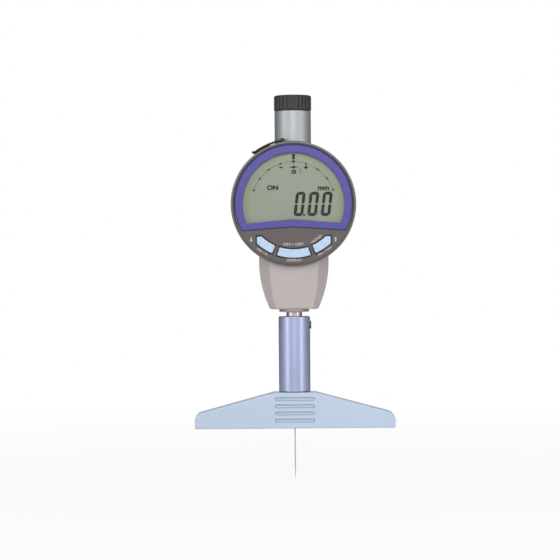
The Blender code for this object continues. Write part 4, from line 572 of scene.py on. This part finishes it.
def make_base():
    right = [(BASE_HALF, 0.0, 0.8), (BASE_HALF, BASE_END, 4.0), (BASE_TOP_HALF, BASE_TOP, 1.2)]
    left = [(-across, up, radius) for across, up, radius in reversed(right)]
    base = softened(prism("base_block", rounded(right + left, 10), BASE_FRONT, BASE_BACK), 0.45, 3, 40)
    slot = prism("slot_cutter", box_outline(10.15, 0.95, 0.94), -0.7, 1.5)
    tree, given, rows, sizes = slot_rows("grip_slots", slot)
    cut = node(tree, "MeshBoolean", operation="DIFFERENCE", solver="EXACT")
    cutters = node(tree, "RealizeInstances", {0: rows})
    for index, shape in enumerate((given["Geometry"].socket, cutters.outputs[0])):
        tree.links.new(shape, cut.inputs[index])
    grown(base, tree, cut, base_steel, sizes)
    bpy.data.objects.remove(slot, do_unlink=True)
    carved(base, lathe("base_way", bore(-1, (0.7, 3), (STEM_R, 6), (SLEEVE_FOOT, 19)), 64))
    dress(base, base_steel, "base_body", "base_steel", "base")

    # A thin lining of each grip slot's walls in the darker copy of the base steel: painted shade inside the
    # slots
    ring = prism("slot_ring", box_outline(10.14, 0.94, 0.93), -0.68, -0.03)
    carved(ring, prism("ring_hole", box_outline(9.88, 0.68, 0.67), -2, 2))
    lines = solid("slot_lines", bmesh.new())
    tree, given, rows, sizes = slot_rows("slot_walls", ring)
    grown(lines, tree, rows, slot_steel, sizes)
    bpy.data.objects.remove(ring, do_unlink=True)
    dress(lines, slot_steel, "base_body", "base_steel")


def make_sleeve():
    profile = rounded([
        (SLEEVE_BORE_R, SLEEVE_FOOT, 0), (6.0, SLEEVE_FOOT, 0.2), (6.0, SLEEVE_SEAT, 0),
        (SLEEVE_R, SLEEVE_SEAT, 0.25), (SLEEVE_R, SLEEVE_TOP, 0.7), (SLEEVE_BORE_R, SLEEVE_TOP, 0.3),
    ], 4)
    clamp_axis = ("X", (0, 0, CLAMP_Z))
    sleeve = carved(lathe("sleeve", profile), lathe("sleeve_hole", bore(2, (2.3, 9)), 48, *clamp_axis))
    dress(sleeve, sleeve_steel, "base_body", "sleeve_steel", "stem_sleeve")
    body = rounded([(0, 4.3, 0), (1.4, 4.3, 0), (2.0, 4.9, 0.1), (2.0, 8.6, 0.35), (0, 8.6, 0)], 4)
    screw = lathe("clamp_set_screw", body, 48, *clamp_axis)
    socket = lathe("hex_key_hole", bore(6.8, (1.15, 9.5)), 6, *clamp_axis)
    dress(carved(screw, socket), screw_steel, "clamp_screw_body", "screw_steel", "clamp_screw")


def make_stem():
    tube = [(3.2, STEM_FOOT, 0), (STEM_R, STEM_FOOT, 0.3), (STEM_R, STEM_TOP, 0), (3.2, STEM_TOP, 0)]
    dress(lathe("stem_tube", rounded(tube, 5), 96), stem_steel, "head", "stem_steel", "stem")
    flange = [
        (3.9, FLANGE_FOOT, 0), (FLANGE_R, FLANGE_FOOT, 0.45), (FLANGE_R, FLANGE_TOP, 0.1),
        (3.9, FLANGE_TOP, 0),
    ]
    dress(lathe("stem_flange", rounded(flange, 5), 96), flange_steel, "head", "stem_steel")


def make_spring():
    """The return spring: a wire wound round the spindle, with one closed turn at each end."""
    low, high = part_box("return_spring")
    wire, travel = 0.24 * MM, SPINDLE_TRAVEL * MM
    sizes = {
        "Foot": low[2] + wire, "Length": high[2] - low[2] - 2 * wire, "Coil Radius": 3.0 * MM,
        "Wire": wire, "Turns": 10.0, "Closed Rise": 0.6 * MM,
    }
    holder = solid("return_coil", bmesh.new())
    tree, given = geometry_tree("wound_wire", sizes)
    path = node(tree, "CurveSpiral", {
        "Resolution": 16, "Rotations": given["Turns"], "Start Radius": given["Coil Radius"],
        "End Radius": given["Coil Radius"], "Height": 1.0,
    })
    across, deep, share = axes(tree, node(tree, "InputPosition"))
    turns = share * given["Turns"]
    open_share = ((turns - 1.0) / (given["Turns"] - 2.0)).by("MAXIMUM", 0.0).by("MINIMUM", 1.0)
    last = turns - (given["Turns"] - 1.0)
    closed = turns.by("MINIMUM", 1.0) + last.by("MAXIMUM", 0.0)
    open_rise = given["Length"] - given["Closed Rise"] * 2.0
    rise = closed * given["Closed Rise"] + open_share * open_rise
    place = vector(tree, across, deep, given["Foot"] + rise)
    wound = node(tree, "SetPosition", {"Geometry": path, "Position": place})
    section = node(tree, "CurvePrimitiveCircle", {"Resolution": 10, "Radius": given["Wire"]})
    made = node(tree, "CurveToMesh", {"Curve": wound, "Profile Curve": section, "Fill Caps": True})
    grown(holder, tree, made, spring_steel, sizes)
    dress(holder, spring_steel, "head", "spring_steel", "return_spring", crease=60)
    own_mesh(holder)


def make_needle():
    point = [(0, NEEDLE_TIP), (0.05, -25.57), (0.09, -25.4), (0.17, -23.0), (0.25, -20.0)]
    shank = [(0.3, -18.0), (0.3, NEEDLE_TOP), (0, NEEDLE_TOP)]
    dress(lathe("needle_contact", point + shank, 32), needle_steel, "spindle_body", "needle_steel", "needle")


# The casing with its tail, its back, its tube and its cap


def tail_section(half, panel, deep):
    """An eight-sided section: a panel in front and behind, and a facet at each corner."""
    side = deep * 0.42
    front = [(-half, -side), (-panel, -deep), (panel, -deep), (half, -side)]
    return rounded([(x, y, 0.7) for x, y in front + [(x, -y) for x, y in reversed(front)]], 5)


def make_tail():
    """The tail swells upwards as a parabola from its foot to its head section."""
    foot, head = tail_section(12.2, 9.3, 7.6), tail_section(17.6, 12.4, 9.6)
    levels = [0.0, 0.004, 0.012, 0.024, *(0.045 + 0.955 * step / 40 for step in range(41))]
    shrink = [0.055, 0.03, 0.011, 0.0, *([0.0] * 41)]
    shape = bmesh.new()
    top = shape.verts.layers.float_vector.new("head_section")
    rings = []
    for level, less in zip(levels, shrink):
        ring = []
        for (foot_x, foot_y), (head_x, head_y) in zip(foot, head):
            corner = shape.verts.new((foot_x * (1 - less), foot_y * (1 - less), level / MM))
            corner[top] = (head_x * (1 - less) * MM, head_y * (1 - less) * MM, 0)
            ring.append(corner)
        rings.append(ring)
    skinned(shape, rings)
    tail = solid("tail", shape)
    sizes = {"Foot": TAIL_FOOT * MM, "Curve Height": TAIL_CURVE * MM, "Height": TAIL_HEIGHT * MM}
    tree, given = geometry_tree("tail_swell", sizes)
    across, deep, up = axes(tree, node(tree, "InputPosition"))
    head_place = node(tree, "InputNamedAttribute", {"Name": "head_section"}, data_type="FLOAT_VECTOR")
    head_across, head_deep, _ = axes(tree, head_place)
    rise = up * given["Height"]
    share = (rise / given["Curve Height"]).by("MINIMUM", 1.0)
    swell = (share * -1.0 + 1.0) ** 2.0 * -1.0 + 1.0
    wide = across + swell * (head_across - across)
    thick = deep + share * (head_deep - deep)
    place = vector(tree, wide, thick, given["Foot"] + rise)
    moved = node(tree, "SetPosition", {"Geometry": given["Geometry"], "Position": place})
    return grown(tail, tree, moved, casing_paint, sizes)


def back_screw_axes():
    places = (arc(BACK_SCREW_CIRCLE, 45 + 90 * quarter, 360, 1)[0] for quarter in range(4))
    return [("Y", (across, 0, FACE_Z + up)) for across, up in places]


def cover_pin_place():
    across, up = turned_about_face([(0, PIN_R)], PIN_ANGLE)[0]
    return across, 0, FACE_Z + up


def make_casing():
    body = [(0, RIM_BACK, 0), (CASING_R, RIM_BACK, 0), (CASING_R, CASING_BACK, 0.75), (0, CASING_BACK, 0)]
    casing = fused(drum("casing_body", rounded(body)), make_tail())
    pin_axis = ("Y", cover_pin_place())
    web = turned_about_face(box_outline(0.95, 1.33, 0, (0, PIN_R - 1.33)), PIN_ANGLE)
    eye = lathe("lug_eye", bore(-9.5, (0.95, -8.7)), 32, *pin_axis)
    fused(casing, eye, prism("lug_web", raised(web), -9.5, -8.7))
    void = bore(-14, (RIM_BORE_R, -6.4), (24.5, -5.4), (CAVITY_R, 12))
    carved(casing, drum("void", void))
    fused(casing, prism("boss", box_outline(5.5, 3.95, 0.6, (0, 0.15)), 132.0, 141.4, "Z"))
    way = bore(59, (4.3, 74.3), (2.6, 132.7), (3.2, 141.8), (4.9, 146.5))
    port = turned_about_face(box_outline(3.6, 4.15, 0.3, (0, 29.6)), PORT_ANGLE)
    carved(
        casing,
        lathe("way", way, 64),
        prism("port_cutter", raised(port), -4.6, -1.0),
        lathe("pin_hole", bore(-10, (0.55, -8)), 24, *pin_axis),
        lathe("rod_hole", bore(85.9, (1.5, 141.2)), 32, "Z", (9.5, 0, 0)),
        *(lathe("screw_hole", bore(5.7, (1.1, 12)), 26, *axis) for axis in back_screw_axes()),
    )
    dress(casing, casing_paint, "head", "casing_silver", "casing", crease=28)
    # The front rim is a separate ring in the darker copy of the casing paint: painted shade on the rim
    rim = [
        (RIM_BORE_R, CASING_FRONT, 0.3), (CASING_R, CASING_FRONT, 0.75), (CASING_R, RIM_BACK, 0),
        (RIM_BORE_R, RIM_BACK, 0),
    ]
    dress(drum("casing_rim", rounded(rim)), rim_paint, "head", "casing_silver")


def make_back():
    """The back plate: a locating ring and two screw posts inside, and a shallow groove round its face."""
    profile = rounded([
        (0, COVER_FRONT, 0), (25.5, COVER_FRONT, 0), (25.5, 9.5, 0), (27.2, 9.5, 0.2), (27.2, COVER_FRONT, 0),
        (31.35, COVER_FRONT, 0.2), (31.35, COVER_BACK, 0.7), (27.0, COVER_BACK, 0.15), (26.8, 12.6, 0.1),
        (26.0, 12.6, 0.1), (25.8, COVER_BACK, 0.15), (0, COVER_BACK, 0),
    ], 5)
    cover = drum("back_plate", profile)
    holes = [lathe("screw_seat", bore(10, (1.1, 11.8), (1.6, 13.5)), 42, *axis) for axis in back_screw_axes()]
    for screw in ("board_screw_1", "board_screw_2"):
        low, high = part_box(screw)
        axis = ("Y", ((low[0] + high[0]) / 2 / MM, 0, (low[2] + high[2]) / 2 / MM))
        fused(cover, lathe(screw + "_post", bore(8.5, (1.6, 12.0)), 40, *axis))
        holes.append(lathe(screw + "_hole", bore(8, (0.9, 10.6)), 32, *axis))
    carved(cover, *holes)
    dress(cover, cover_paint, "head", "casing_silver", "back_cover")
    make_back_screws()


def make_back_screws():
    """One cross-head screw, set at four points of a circle."""
    profile = rounded([
        (0, 6.0, 0), (0.8, 6.0, 0), (0.8, 12.1, 0), (1.3, 12.1, 0.1), (1.3, COVER_BACK, 0.3),
        (0, COVER_BACK, 0),
    ], 4)
    slots = (box_outline(*size) for size in ((0.75, 0.16), (0.16, 0.75)))
    screw = lathe("screw_pattern", profile, 40, "Y")
    carved(screw, *(prism("cross_slot", slot, 12.5, 13.6) for slot in slots))
    seat = solid("back_screws", bmesh.new())
    sizes = {"Screw": screw, "Count": 4, "Radius": BACK_SCREW_CIRCLE * MM, "Height": FACE_Z * MM}
    tree, given = geometry_tree("screw_circle", sizes)
    circle = node(tree, "MeshCircle", {"Vertices": given["Count"], "Radius": given["Radius"]})
    height = vector(tree, up=given["Height"])
    upright = {"Geometry": circle, "Translation": height, "Rotation": (math.pi / 2, math.pi / 4, 0)}
    pattern = node(tree, "ObjectInfo", {"Object": given["Screw"]}).outputs["Geometry"]
    placed = node(tree, "InstanceOnPoints", {"Points": node(tree, "Transform", upright), "Instance": pattern})
    grown(seat, tree, placed, screw_steel, sizes)
    bpy.data.objects.remove(screw, do_unlink=True)
    dress(seat, screw_steel, "head", "screw_steel", *(f"back_screw_{turn + 1}" for turn in range(4)))


def make_tube():
    outer = rounded([
        (0, TUBE_FOOT, 0), (TUBE_R, TUBE_FOOT, 0), (TUBE_R, TUBE_SHOULDER, 0.2),
        (TUBE_NECK_R, TUBE_SHOULDER, 0), (TUBE_NECK_R, TUBE_TOP, 0.2), (0, TUBE_TOP, 0),
    ], 4)
    saddle = drum("tube_saddle", bore(-12, (CASING_R + 0.3, 12)))
    tube = carved(lathe("tube", outer), saddle)
    fused(tube, lathe("tube_shank", bore(142.1, (4.6, 147.0)), 64))
    carved(tube, lathe("tube_bore", bore(141, (3.4, 146.15), (6.0, 167)), 96))
    dress(tube, tube_paint, "head", "tube_silver", "spindle_tube")


def make_cap():
    """A moulded cap: the flutes are pressed into its turned skin."""
    top, neck = CAP_TOP - 0.18, 7.9
    crown = (math.pi / 20 * step for step in range(1, 11))
    profile = [
        (0, top), (0, 167.5), (6.0, 167.5), (6.0, 165.8), (neck, 165.8), (neck, 163.1), (8.35, 163.1),
        (8.35, 162.3), (neck, 162.3), (neck, CAP_FOOT), (9.2, CAP_FOOT), (9.42, CAP_FOOT + 0.1),
        (CAP_R, CAP_FOOT + 0.3),
        *((CAP_R, CAP_FOOT + 0.5 + (CAP_TOP - CAP_FOOT - 1.7) * step / 14) for step in range(15)),
        *((8.6 + 0.9 * math.cos(a), CAP_TOP - 0.9 + 0.9 * math.sin(a)) for a in crown),
        (8.0, CAP_TOP), (7.8, CAP_TOP - 0.12), (7.6, top),
    ]
    skin = lathe("cap_skin", profile[1:] + profile[:1], 260)
    sizes = {"Flutes": 26, "Depth": 0.45 * MM, "Radius": CAP_R * MM, "Crown": CAP_TOP * MM}
    tree, given = geometry_tree("cap_flutes", sizes)
    across, deep, up = axes(tree, node(tree, "InputPosition"))
    wave = ((deep.by("ARCTAN2", across) * given["Flutes"]).by("COSINE") * 0.5 + 0.5) ** 1.6
    flat = vector(tree, across, deep)
    outside = (length(tree, flat) / given["Radius"]).ranged(0.95, 0.985, interpolation_type="SMOOTHSTEP")
    fade = (given["Crown"] - up).ranged(0.25 * MM, 1.1 * MM, interpolation_type="SMOOTHSTEP")
    press = wave * outside * (fade * given["Depth"])
    outward = node(tree, "ShaderNodeVectorMath", {0: flat}, operation="NORMALIZE")
    inward = node(tree, "ShaderNodeVectorMath", {0: outward, "Scale": press * -1.0}, operation="SCALE")
    moved = node(tree, "SetPosition", {"Geometry": given["Geometry"], "Offset": inward})
    grown(skin, tree, moved, cap_plastic, sizes)
    dress(skin, cap_plastic, "cap_body", "cap_black", "cap", crease=45)


# The display: bezel, frame, window, glass, keys and marks


def make_bezel():
    profile = rounded([
        (0, BEZEL_FRONT, 0), (BEZEL_R, BEZEL_FRONT, 0.45), (BEZEL_R, BEZEL_BACK, 0.2),
        (SPIGOT_R, BEZEL_BACK, 0), (SPIGOT_R, -9.8, 0), (GROOVE_R, -9.8, 0), (GROOVE_R, -8.4, 0),
        (SPIGOT_R, -8.4, 0),
        (SPIGOT_R, SPIGOT_END, 0.2), (28.2, SPIGOT_END, 0), (28.2, PLATE_BACK, 0), (0, PLATE_BACK, 0),
    ], 5)
    bezel = drum("bezel", profile)
    cutters = [
        prism("frame_recess", frame_outline(0.3), -18, -16.4),
        prism("window_hole", window_outline(1.0), -18, -14),
    ]
    for side in (-1, 0, 1):
        cutters.append(prism(f"key_border_{side}", key_outline(side, 0.62), -18, BORDER_FRONT))
        cutters.append(prism(f"key_hole_{side}", key_outline(side, 0.3), -18, -14))
    carved(bezel, *cutters)
    dress(bezel, bezel_plastic, "display", "panel_black", "display_housing", crease=28)


def make_frame():
    rim = prism("blue_rim", frame_outline(0), FRAME_FRONT, FRAME_BACK)
    carved(rim, prism("rim_hole", window_outline(0), -19, -15))
    dress(softened(rim, 0.28, 4, 50), frame_blue, "display", "frame_blue", "blue_frame", crease=40)
    glass = softened(prism("clear_window", window_outline(0.7), WINDOW_FRONT, WINDOW_BACK), 0.15, 2, 50)
    dress(glass, window_clear, "display", "window_clear", "window")
    panel = softened(prism("lcd_panel", window_outline(0.7), LCD_FRONT, LCD_BACK), 0.1, 2, 50)
    fused(panel, prism("lcd_edge", window_outline(1.6), LCD_SHOULDER, LCD_BACK))
    dress(panel, lcd_glass, "display", "lcd_grey", "lcd")


def make_keys():
    for side, name in ((-1, "left"), (0, "centre"), (1, "right")):
        key = softened(prism(f"{name}_key", key_outline(side, 0.0), KEY_FRONT, -14.5), 0.38, 4, 50)
        fused(key, prism(f"{name}_flange", key_outline(side, 0.6), KEY_SHOULDER, KEY_BACK))
        dress(key, key_rubber, f"key_{name}_body", "key_blue", f"key_{name}", crease=40)
        border = prism(f"{name}_border", key_outline(side, 0.6), BORDER_FRONT, BORDER_BACK)
        ring = carved(border, prism("border_hole", key_outline(side, 0.32), -17, -16))
        dress(ring, key_border, "display", "panel_black")


def on_face(name, outline, front):
    """A flat printed mark, drawn about the face's centre."""
    return prism(name, raised(outline), front - INK, front)


def lettering(name, text, height, place, front, angle=0.0, weight=0.0, stretch=1.0):
    """Flat letters on the face, height tall, centred on place and turned by angle."""
    curve = bpy.data.curves.new(name, "FONT")
    curve.body = text
    curve.align_x = curve.align_y = "CENTER"
    curve.extrude = 0.5
    curve.offset = weight
    holder = linked(name, curve)
    mesh = bpy.data.meshes.new_from_object(holder.evaluated_get(bpy.context.evaluated_depsgraph_get()))
    bpy.data.objects.remove(holder, do_unlink=True)
    size = height / 0.7
    across, up = place
    mesh.transform(
        Matrix.Translation((across * MM, (front - INK / 2) * MM, (FACE_Z + up) * MM))
        @ Matrix.Rotation(math.radians(-angle), 4, "Y")
        @ Matrix.Rotation(math.pi / 2, 4, "X")
        @ Matrix.Diagonal((size * stretch * MM, size * MM, INK * MM, 1))
    )
    shape = bmesh.new()
    shape.from_mesh(mesh)
    bmesh.ops.remove_doubles(shape, verts=shape.verts, dist=1e-7)
    bmesh.ops.recalc_face_normals(shape, faces=shape.faces)
    shape.to_mesh(mesh)
    shape.free()
    return linked(name, mesh)


def nought(left, foot):
    """The six lit bars of a seven-segment nought: two flat ones, and four upright with pointed ends."""
    width, height, stroke, cut, gap = 4.9, 12.2, 1.56, 1.1, 0.035
    middle = height / 2 + 0.16
    flat = [
        (cut / 2 + gap, height - cut / 2 + gap), (cut, height), (width - cut, height),
        (width - cut / 2 - gap, height - cut / 2 + gap), (width - stroke - gap, height - stroke),
        (stroke + gap, height - stroke),
    ]
    upright = [
        (0, height - cut), (cut / 2 - gap, height - cut / 2 - gap), (stroke, height - stroke - 2 * gap),
        (stroke, middle + 0.35), (stroke / 2, middle), (0, middle + 0.35),
    ]
    bars = [flat, [(x, height - y) for x, y in flat]]
    for right in (0, 1):
        for low in (0, 1):
            bars.append([(width - x if right else x, height - y if low else y) for x, y in upright])
    lean = math.tan(math.radians(7.2))
    return [[(left + x + y * lean, foot + y) for x, y in bar] for bar in bars]


def make_lcd_marks():
    front = LCD_FRONT - 0.01
    marks = []
    for place, left in enumerate((-0.15, 6.7, 13.45)):
        bars = enumerate(nought(left, -6.35))
        marks += [on_face(f"digit_{place}_{bar}", outline, front) for bar, outline in bars]
    marks += [on_face(name, outline, front) for name, outline in (
        ("point", box_outline(0.5, 0.5, 0.15, (5.35, -5.85))),
        ("pointer", box_outline(0.66, 1.35, 0.1, (0.2, 23.5))),
        ("pointer_tip", [(-0.7, 21.7), (1.1, 21.7), (0.2, 20.2)]),
        ("diamond", [(-0.95, 18.25), (0.2, 17.45), (1.35, 18.25), (0.2, 19.05)]),
        ("dashes", box_outline(2.15, 0.2, 0, (0.2, 18.25))),
        ("minus", box_outline(0.9, 0.32, 0, (-6.1, 18.15))),
        ("plus_across", box_outline(0.95, 0.34, 0, (6.4, 18.15))),
        ("plus_up", box_outline(0.34, 0.95, 0, (6.4, 18.15))),
    )]
    marks += [lettering(*letters[:4], front, *letters[4:]) for letters in (
        ("mode", "ON", 2.15, (-10.4, 7.9), 0, 0.05, 1.15),
        ("unit", "mm", 2.6, (15.1, 7.75), 0, 0.045, 1.0),
        ("figure", "0", 1.9, (0.3, 15.8), 0, 0.05, 1.6),
    )]
    marks += [on_face("box_side", box_outline(0.07, 1.25, 0, (across, 16.5)), front) for across in (3.3, 3.9)]
    marks += [on_face("box_end", box_outline(0.3, 0.07, 0, (3.6, up)), front) for up in (15.25, 17.75)]
    dress(merged("lcd_figures", marks), lcd_ink, "display", "lcd_grey")
    make_lcd_scale(front)


def make_lcd_scale(front):
    """The thin scale arc, with a dot at each of its nine divisions."""
    holder = solid("lcd_scale", bmesh.new())
    sizes = {
        "Radius": 21.0 * MM, "Sweep": math.radians(142.6), "Divisions": 9, "Line": 0.1 * MM, "Dot": 0.56 * MM,
        "Front": front * MM, "Height": FACE_Z * MM,
    }
    tree, given = geometry_tree("lcd_scale_arc", sizes)
    sweep = {
        "Resolution": 120, "Radius": given["Radius"], "Sweep Angle": given["Sweep"],
        "Start Angle": given["Sweep"] / 2.0 * -1.0 + math.pi / 2,
    }
    bend = node(tree, "CurveArc", sweep, mode="RADIUS")
    section = node(tree, "CurvePrimitiveCircle", {"Resolution": 6, "Radius": given["Line"]})
    line = node(tree, "CurveToMesh", {"Curve": bend, "Profile Curve": section, "Fill Caps": True})
    points = node(tree, "CurveToPoints", {"Curve": bend, "Count": given["Divisions"]}, mode="COUNT")
    dot = node(tree, "MeshCylinder", {"Vertices": 16, "Radius": given["Dot"], "Depth": 0.1 * MM})
    both = node(tree, "JoinGeometry")
    for part in (line, node(tree, "InstanceOnPoints", {"Points": points, "Instance": dot})):
        tree.links.new(part.outputs[0], both.inputs[0])
    flat = node(tree, "Transform", {"Geometry": both, "Scale": (1, 1, 0.3)})
    where = vector(tree, deep=given["Front"], up=given["Height"])
    stood = node(tree, "Transform", {"Geometry": flat, "Rotation": (math.pi / 2, 0, 0), "Translation": where})
    grown(holder, tree, stood, faint_ink, sizes)
    dress(holder, faint_ink, "display", "lcd_grey")


def arrow(name, place, up, front):
    """An arrow that points up or down: a shaft, and a head that starts just past its middle."""
    x, z = place
    shaft, head, tip = 0.22, 0.75, 1.3 if up else -1.3
    neck = z + tip * 0.1
    outline = [(x - shaft, z - tip), (x + shaft, z - tip), (x + shaft, neck), (x + head, neck), (x, z + tip)]
    return on_face(name, outline + [(x - head, neck), (x - shaft, neck)], front)


def make_legends():
    front = BEZEL_FRONT + 0.005
    marks = [lettering(*letters[:4], front, *letters[4:]) for letters in (
        ("above_centre", "ON / OFF", 1.3, (-0.3, -20.55), 0, 0.015, 1.3),
        ("below_centre", "ZERO", 1.2, (0, -28.5), 0, 0.015, 1.7),
        ("below_left", "mm / in", 1.15, (-15.9, -24.0), -33, 0.015, 1.2),
        ("above_right", "HOLD", 1.15, (11.4, -18.0), 36, 0.015, 1.4),
        ("below_right", "MIN / MAX", 1.05, (15.6, -24.2), 33, 0.01, 1.1),
    )]
    marks += [
        arrow("down_arrow", (-21.4, -18.0), False, front),
        arrow("up_arrow", (21.0, -18.2), True, front),
    ]
    dress(merged("key_legends", marks), print_white, "display", "panel_black")
    dot = [(across - 10.0, up - 25.6) for across, up in arc(0.32, 0, 345, 23)]
    dress(on_face("red_dot", dot, front), print_red, "display", "panel_black")


# The port cover at the upper left of the rim


def bend_round_rim(plate, lip_start):
    """Bends a plate drawn flat, with its length along X and its radius up Z, round the face's centre."""
    sizes = {
        "Radius": COVER_R * MM, "Height": FACE_Z * MM, "Lip Start": lip_start * MM, "Lip Length": 1.7 * MM,
        "Lip Rise": 0.9 * MM,
    }
    tree, given = geometry_tree("rim_bend", sizes)
    along, deep, up = axes(tree, node(tree, "InputPosition"))
    turn = along / given["Radius"]
    past = (along - given["Lip Start"]) / given["Lip Length"]
    radius = up + past.by("MAXIMUM", 0.0) ** 1.5 * given["Lip Rise"]
    place = vector(tree, radius * turn.by("SINE") * -1.0, deep, radius * turn.by("COSINE") + given["Height"])
    moved = node(tree, "SetPosition", {"Geometry": given["Geometry"], "Position": place})
    return grown(plate, tree, moved, cover_rubber, sizes)


def make_port_cover():
    """A strap from its pin to the door, the door over the port, and a turned-up lip."""
    degree = math.radians(1) * COVER_R
    door_start, door_end = 21.0, 38.3
    corners = [
        (PIN_ANGLE, -11.4, 0), (door_end, -11.4, 1.0), (door_end, 0.2, 1.0), (door_start, 0.2, 1.0),
        (door_start, -9.7, 0.6), (PIN_ANGLE, -9.7, 0),
    ]
    outline = rounded([(angle * degree, deep, radius) for angle, deep, radius in corners], 5)
    cover = softened(prism("port_strap", outline, 31.95, 33.0, "Z"), 0.25, 3, 50)
    shape = bmesh.new()
    shape.from_mesh(cover.data)
    for step in range(1, 30):
        cut = (PIN_ANGLE + step) * degree * MM
        geometry = shape.verts[:] + shape.edges[:] + shape.faces[:]
        bmesh.ops.bisect_plane(shape, geom=geometry, plane_co=(cut, 0, 0), plane_no=(1, 0, 0))
    shape.to_mesh(cover.data)
    shape.free()
    bend_round_rim(cover, 35.3 * degree)
    pin_axis = ("Y", cover_pin_place())
    knuckle = rounded([(0, -11.45, 0), (0.95, -11.45, 0.2), (0.95, -9.65, 0.2), (0, -9.65, 0)], 3)
    plug = raised(turned_about_face(box_outline(3.25, 0.9, 0.2, (0, 31.6)), PORT_ANGLE))
    fused(cover, lathe("knuckle", knuckle, 40, *pin_axis), prism("plug", plug, -4.25, -1.35))
    carved(cover, lathe("knuckle_bore", bore(-12, (0.42, -9)), 24, *pin_axis))
    dress(cover, cover_rubber, "port_cover_body", "rubber_black", "port_cover", crease=45)


# Finishes of the nodes that keep their own shape

KEPT = {
    bronze: ("lower_bush", "upper_bush"),
    stem_steel: ("guide_rod", "spindle", "contact_holder"),
    screw_steel: ("board_screw_1", "board_screw_2"),
    nickel: ("battery", "battery_contact", "circlip"),
    board_green: ("sensor_board", "display_board"),
    scale_glass: ("scale_strip",),
    inner_plastic: ("read_head", "port_socket", "display_back", "stop_collar", "carriage"),
    black_rubber: ("port_cover_pin", "key_mat", "display_seal", "cap_seal"),
}
for kept_material, kept_names in KEPT.items():
    for kept_name in kept_names:
        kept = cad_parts[kept_name]
        kept.data.materials.clear()
        kept.data.materials.append(kept_material)

make_base()
make_sleeve()
make_stem()
make_needle()
make_spring()
make_casing()
make_back()
make_tube()
make_cap()
make_bezel()
make_frame()
make_keys()
make_lcd_marks()
make_legends()
make_port_cover()


# Floor, light and camera

WORLD_LIGHT = 0.2
FLOOR_Z, FLOOR_REACH = -28, 4000
LENS, EYE, ROLL = 147.86, (-7.09, -1170.7, 75.13), 0.46
LAMPS = (
    ("left_softbox", (-930, -700, 250), (420, 900), 3.5),
    ("right_softbox", (930, -700, 230), (420, 900), 3.3),
    ("front_softbox", (30, -1250, 520), (420, 420), 5.6),
    ("back_softbox", (150, 700, 900), (700, 400), 1.6),
)


def seen_directly(tree):
    """1 for what the camera sees, also in metal and through glass."""
    rays = node(tree, "LightPath").outputs
    seen = Figure(tree, rays["Is Camera Ray"])
    for bounced in ("Is Glossy Ray", "Is Transmission Ray"):
        seen = seen.by("MAXIMUM", rays[bounced])
    return seen


def paper(name):
    """Pale paper that shows as white further off, and keeps a soft shadow under the gauge."""
    material = bpy.data.materials.new(name)
    material.use_nodes = True
    tree = material.node_tree
    shader = tree.nodes["Principled BSDF"]
    shader.inputs["Base Color"].default_value = (0.9, 0.9, 0.9, 1)
    shader.inputs["Roughness"].default_value = 0.9
    glow = node(tree, "Emission", {"Color": (1, 1, 1, 1), "Strength": 1.0})
    white = length(tree, figure(tree, "TexCoord", output="Object")).ranged(0.1, 0.7, 0.9, 1.0)
    mix = node(tree, "MixShader", {0: seen_directly(tree) * white, 1: shader, 2: glow})
    tree.links.new(mix.outputs[0], tree.nodes["Material Output"].inputs[0])
    return material


def make_flags():
    """Two grey flags behind the gauge, seen only in reflections: they give round metal its dark edges."""
    for name, side in (("left_flag", -1), ("right_flag", 1)):
        shape = bmesh.new()
        foot, top = ([(side * 1050, -100, z), (side * 190, 980, z)] for z in (-27, 900))
        shape.faces.new([shape.verts.new(point) for point in foot + top[::-1]])
        flag = solid(name, shape)
        flag.data.materials.append(finish(name + "_cloth", [187.516] * 3, 0.9, shine=0.0))
        flag.visible_camera = flag.visible_diffuse = flag.visible_shadow = False


def make_stage():
    sheet = bmesh.new()
    sheet.faces.new([sheet.verts.new((*place, FLOOR_Z)) for place in box_outline(FLOOR_REACH, FLOOR_REACH)])
    floor = solid("floor", sheet)
    floor.data.materials.append(paper("floor_paper"))
    if floor.data.polygons[0].normal.z < 0:
        floor.data.flip_normals()
    make_flags()
    world = bpy.data.worlds.new("studio")
    bpy.context.scene.world = world
    world.use_nodes = True
    tree = world.node_tree
    back = tree.nodes["Background"]
    back.inputs["Color"].default_value = (1, 1, 1, 1)
    level = seen_directly(tree).ranged(0.0, 1.0, WORLD_LIGHT, 1.0)
    tree.links.new(level.socket, back.inputs["Strength"])
    for name, place, size, power in LAMPS:
        light = bpy.data.lights.new(name, "AREA")
        light.shape = "RECTANGLE"
        light.size, light.size_y = (side * MM for side in size)
        light.energy = power
        lamp = linked(name, light)
        lamp.location = Vector(place) * MM
        lamp.rotation_euler = (Vector((0, 0, 80)) - Vector(place)).to_track_quat("-Z", "Y").to_euler()


def make_camera():
    camera = bpy.data.cameras.new("camera")
    camera.lens = LENS
    camera.sensor_width = 36
    camera.clip_start, camera.clip_end = 0.01, 20
    viewer = linked("camera", camera)
    eye = Matrix.Translation([place * MM for place in EYE])
    roll = Matrix.Rotation(math.radians(ROLL), 4, "Y")
    viewer.matrix_world = eye @ roll @ Matrix.Rotation(math.pi / 2, 4, "X")
    bpy.context.scene.camera = viewer


make_stage()
make_camera()
bpy.context.scene.view_settings.view_transform = "Standard"
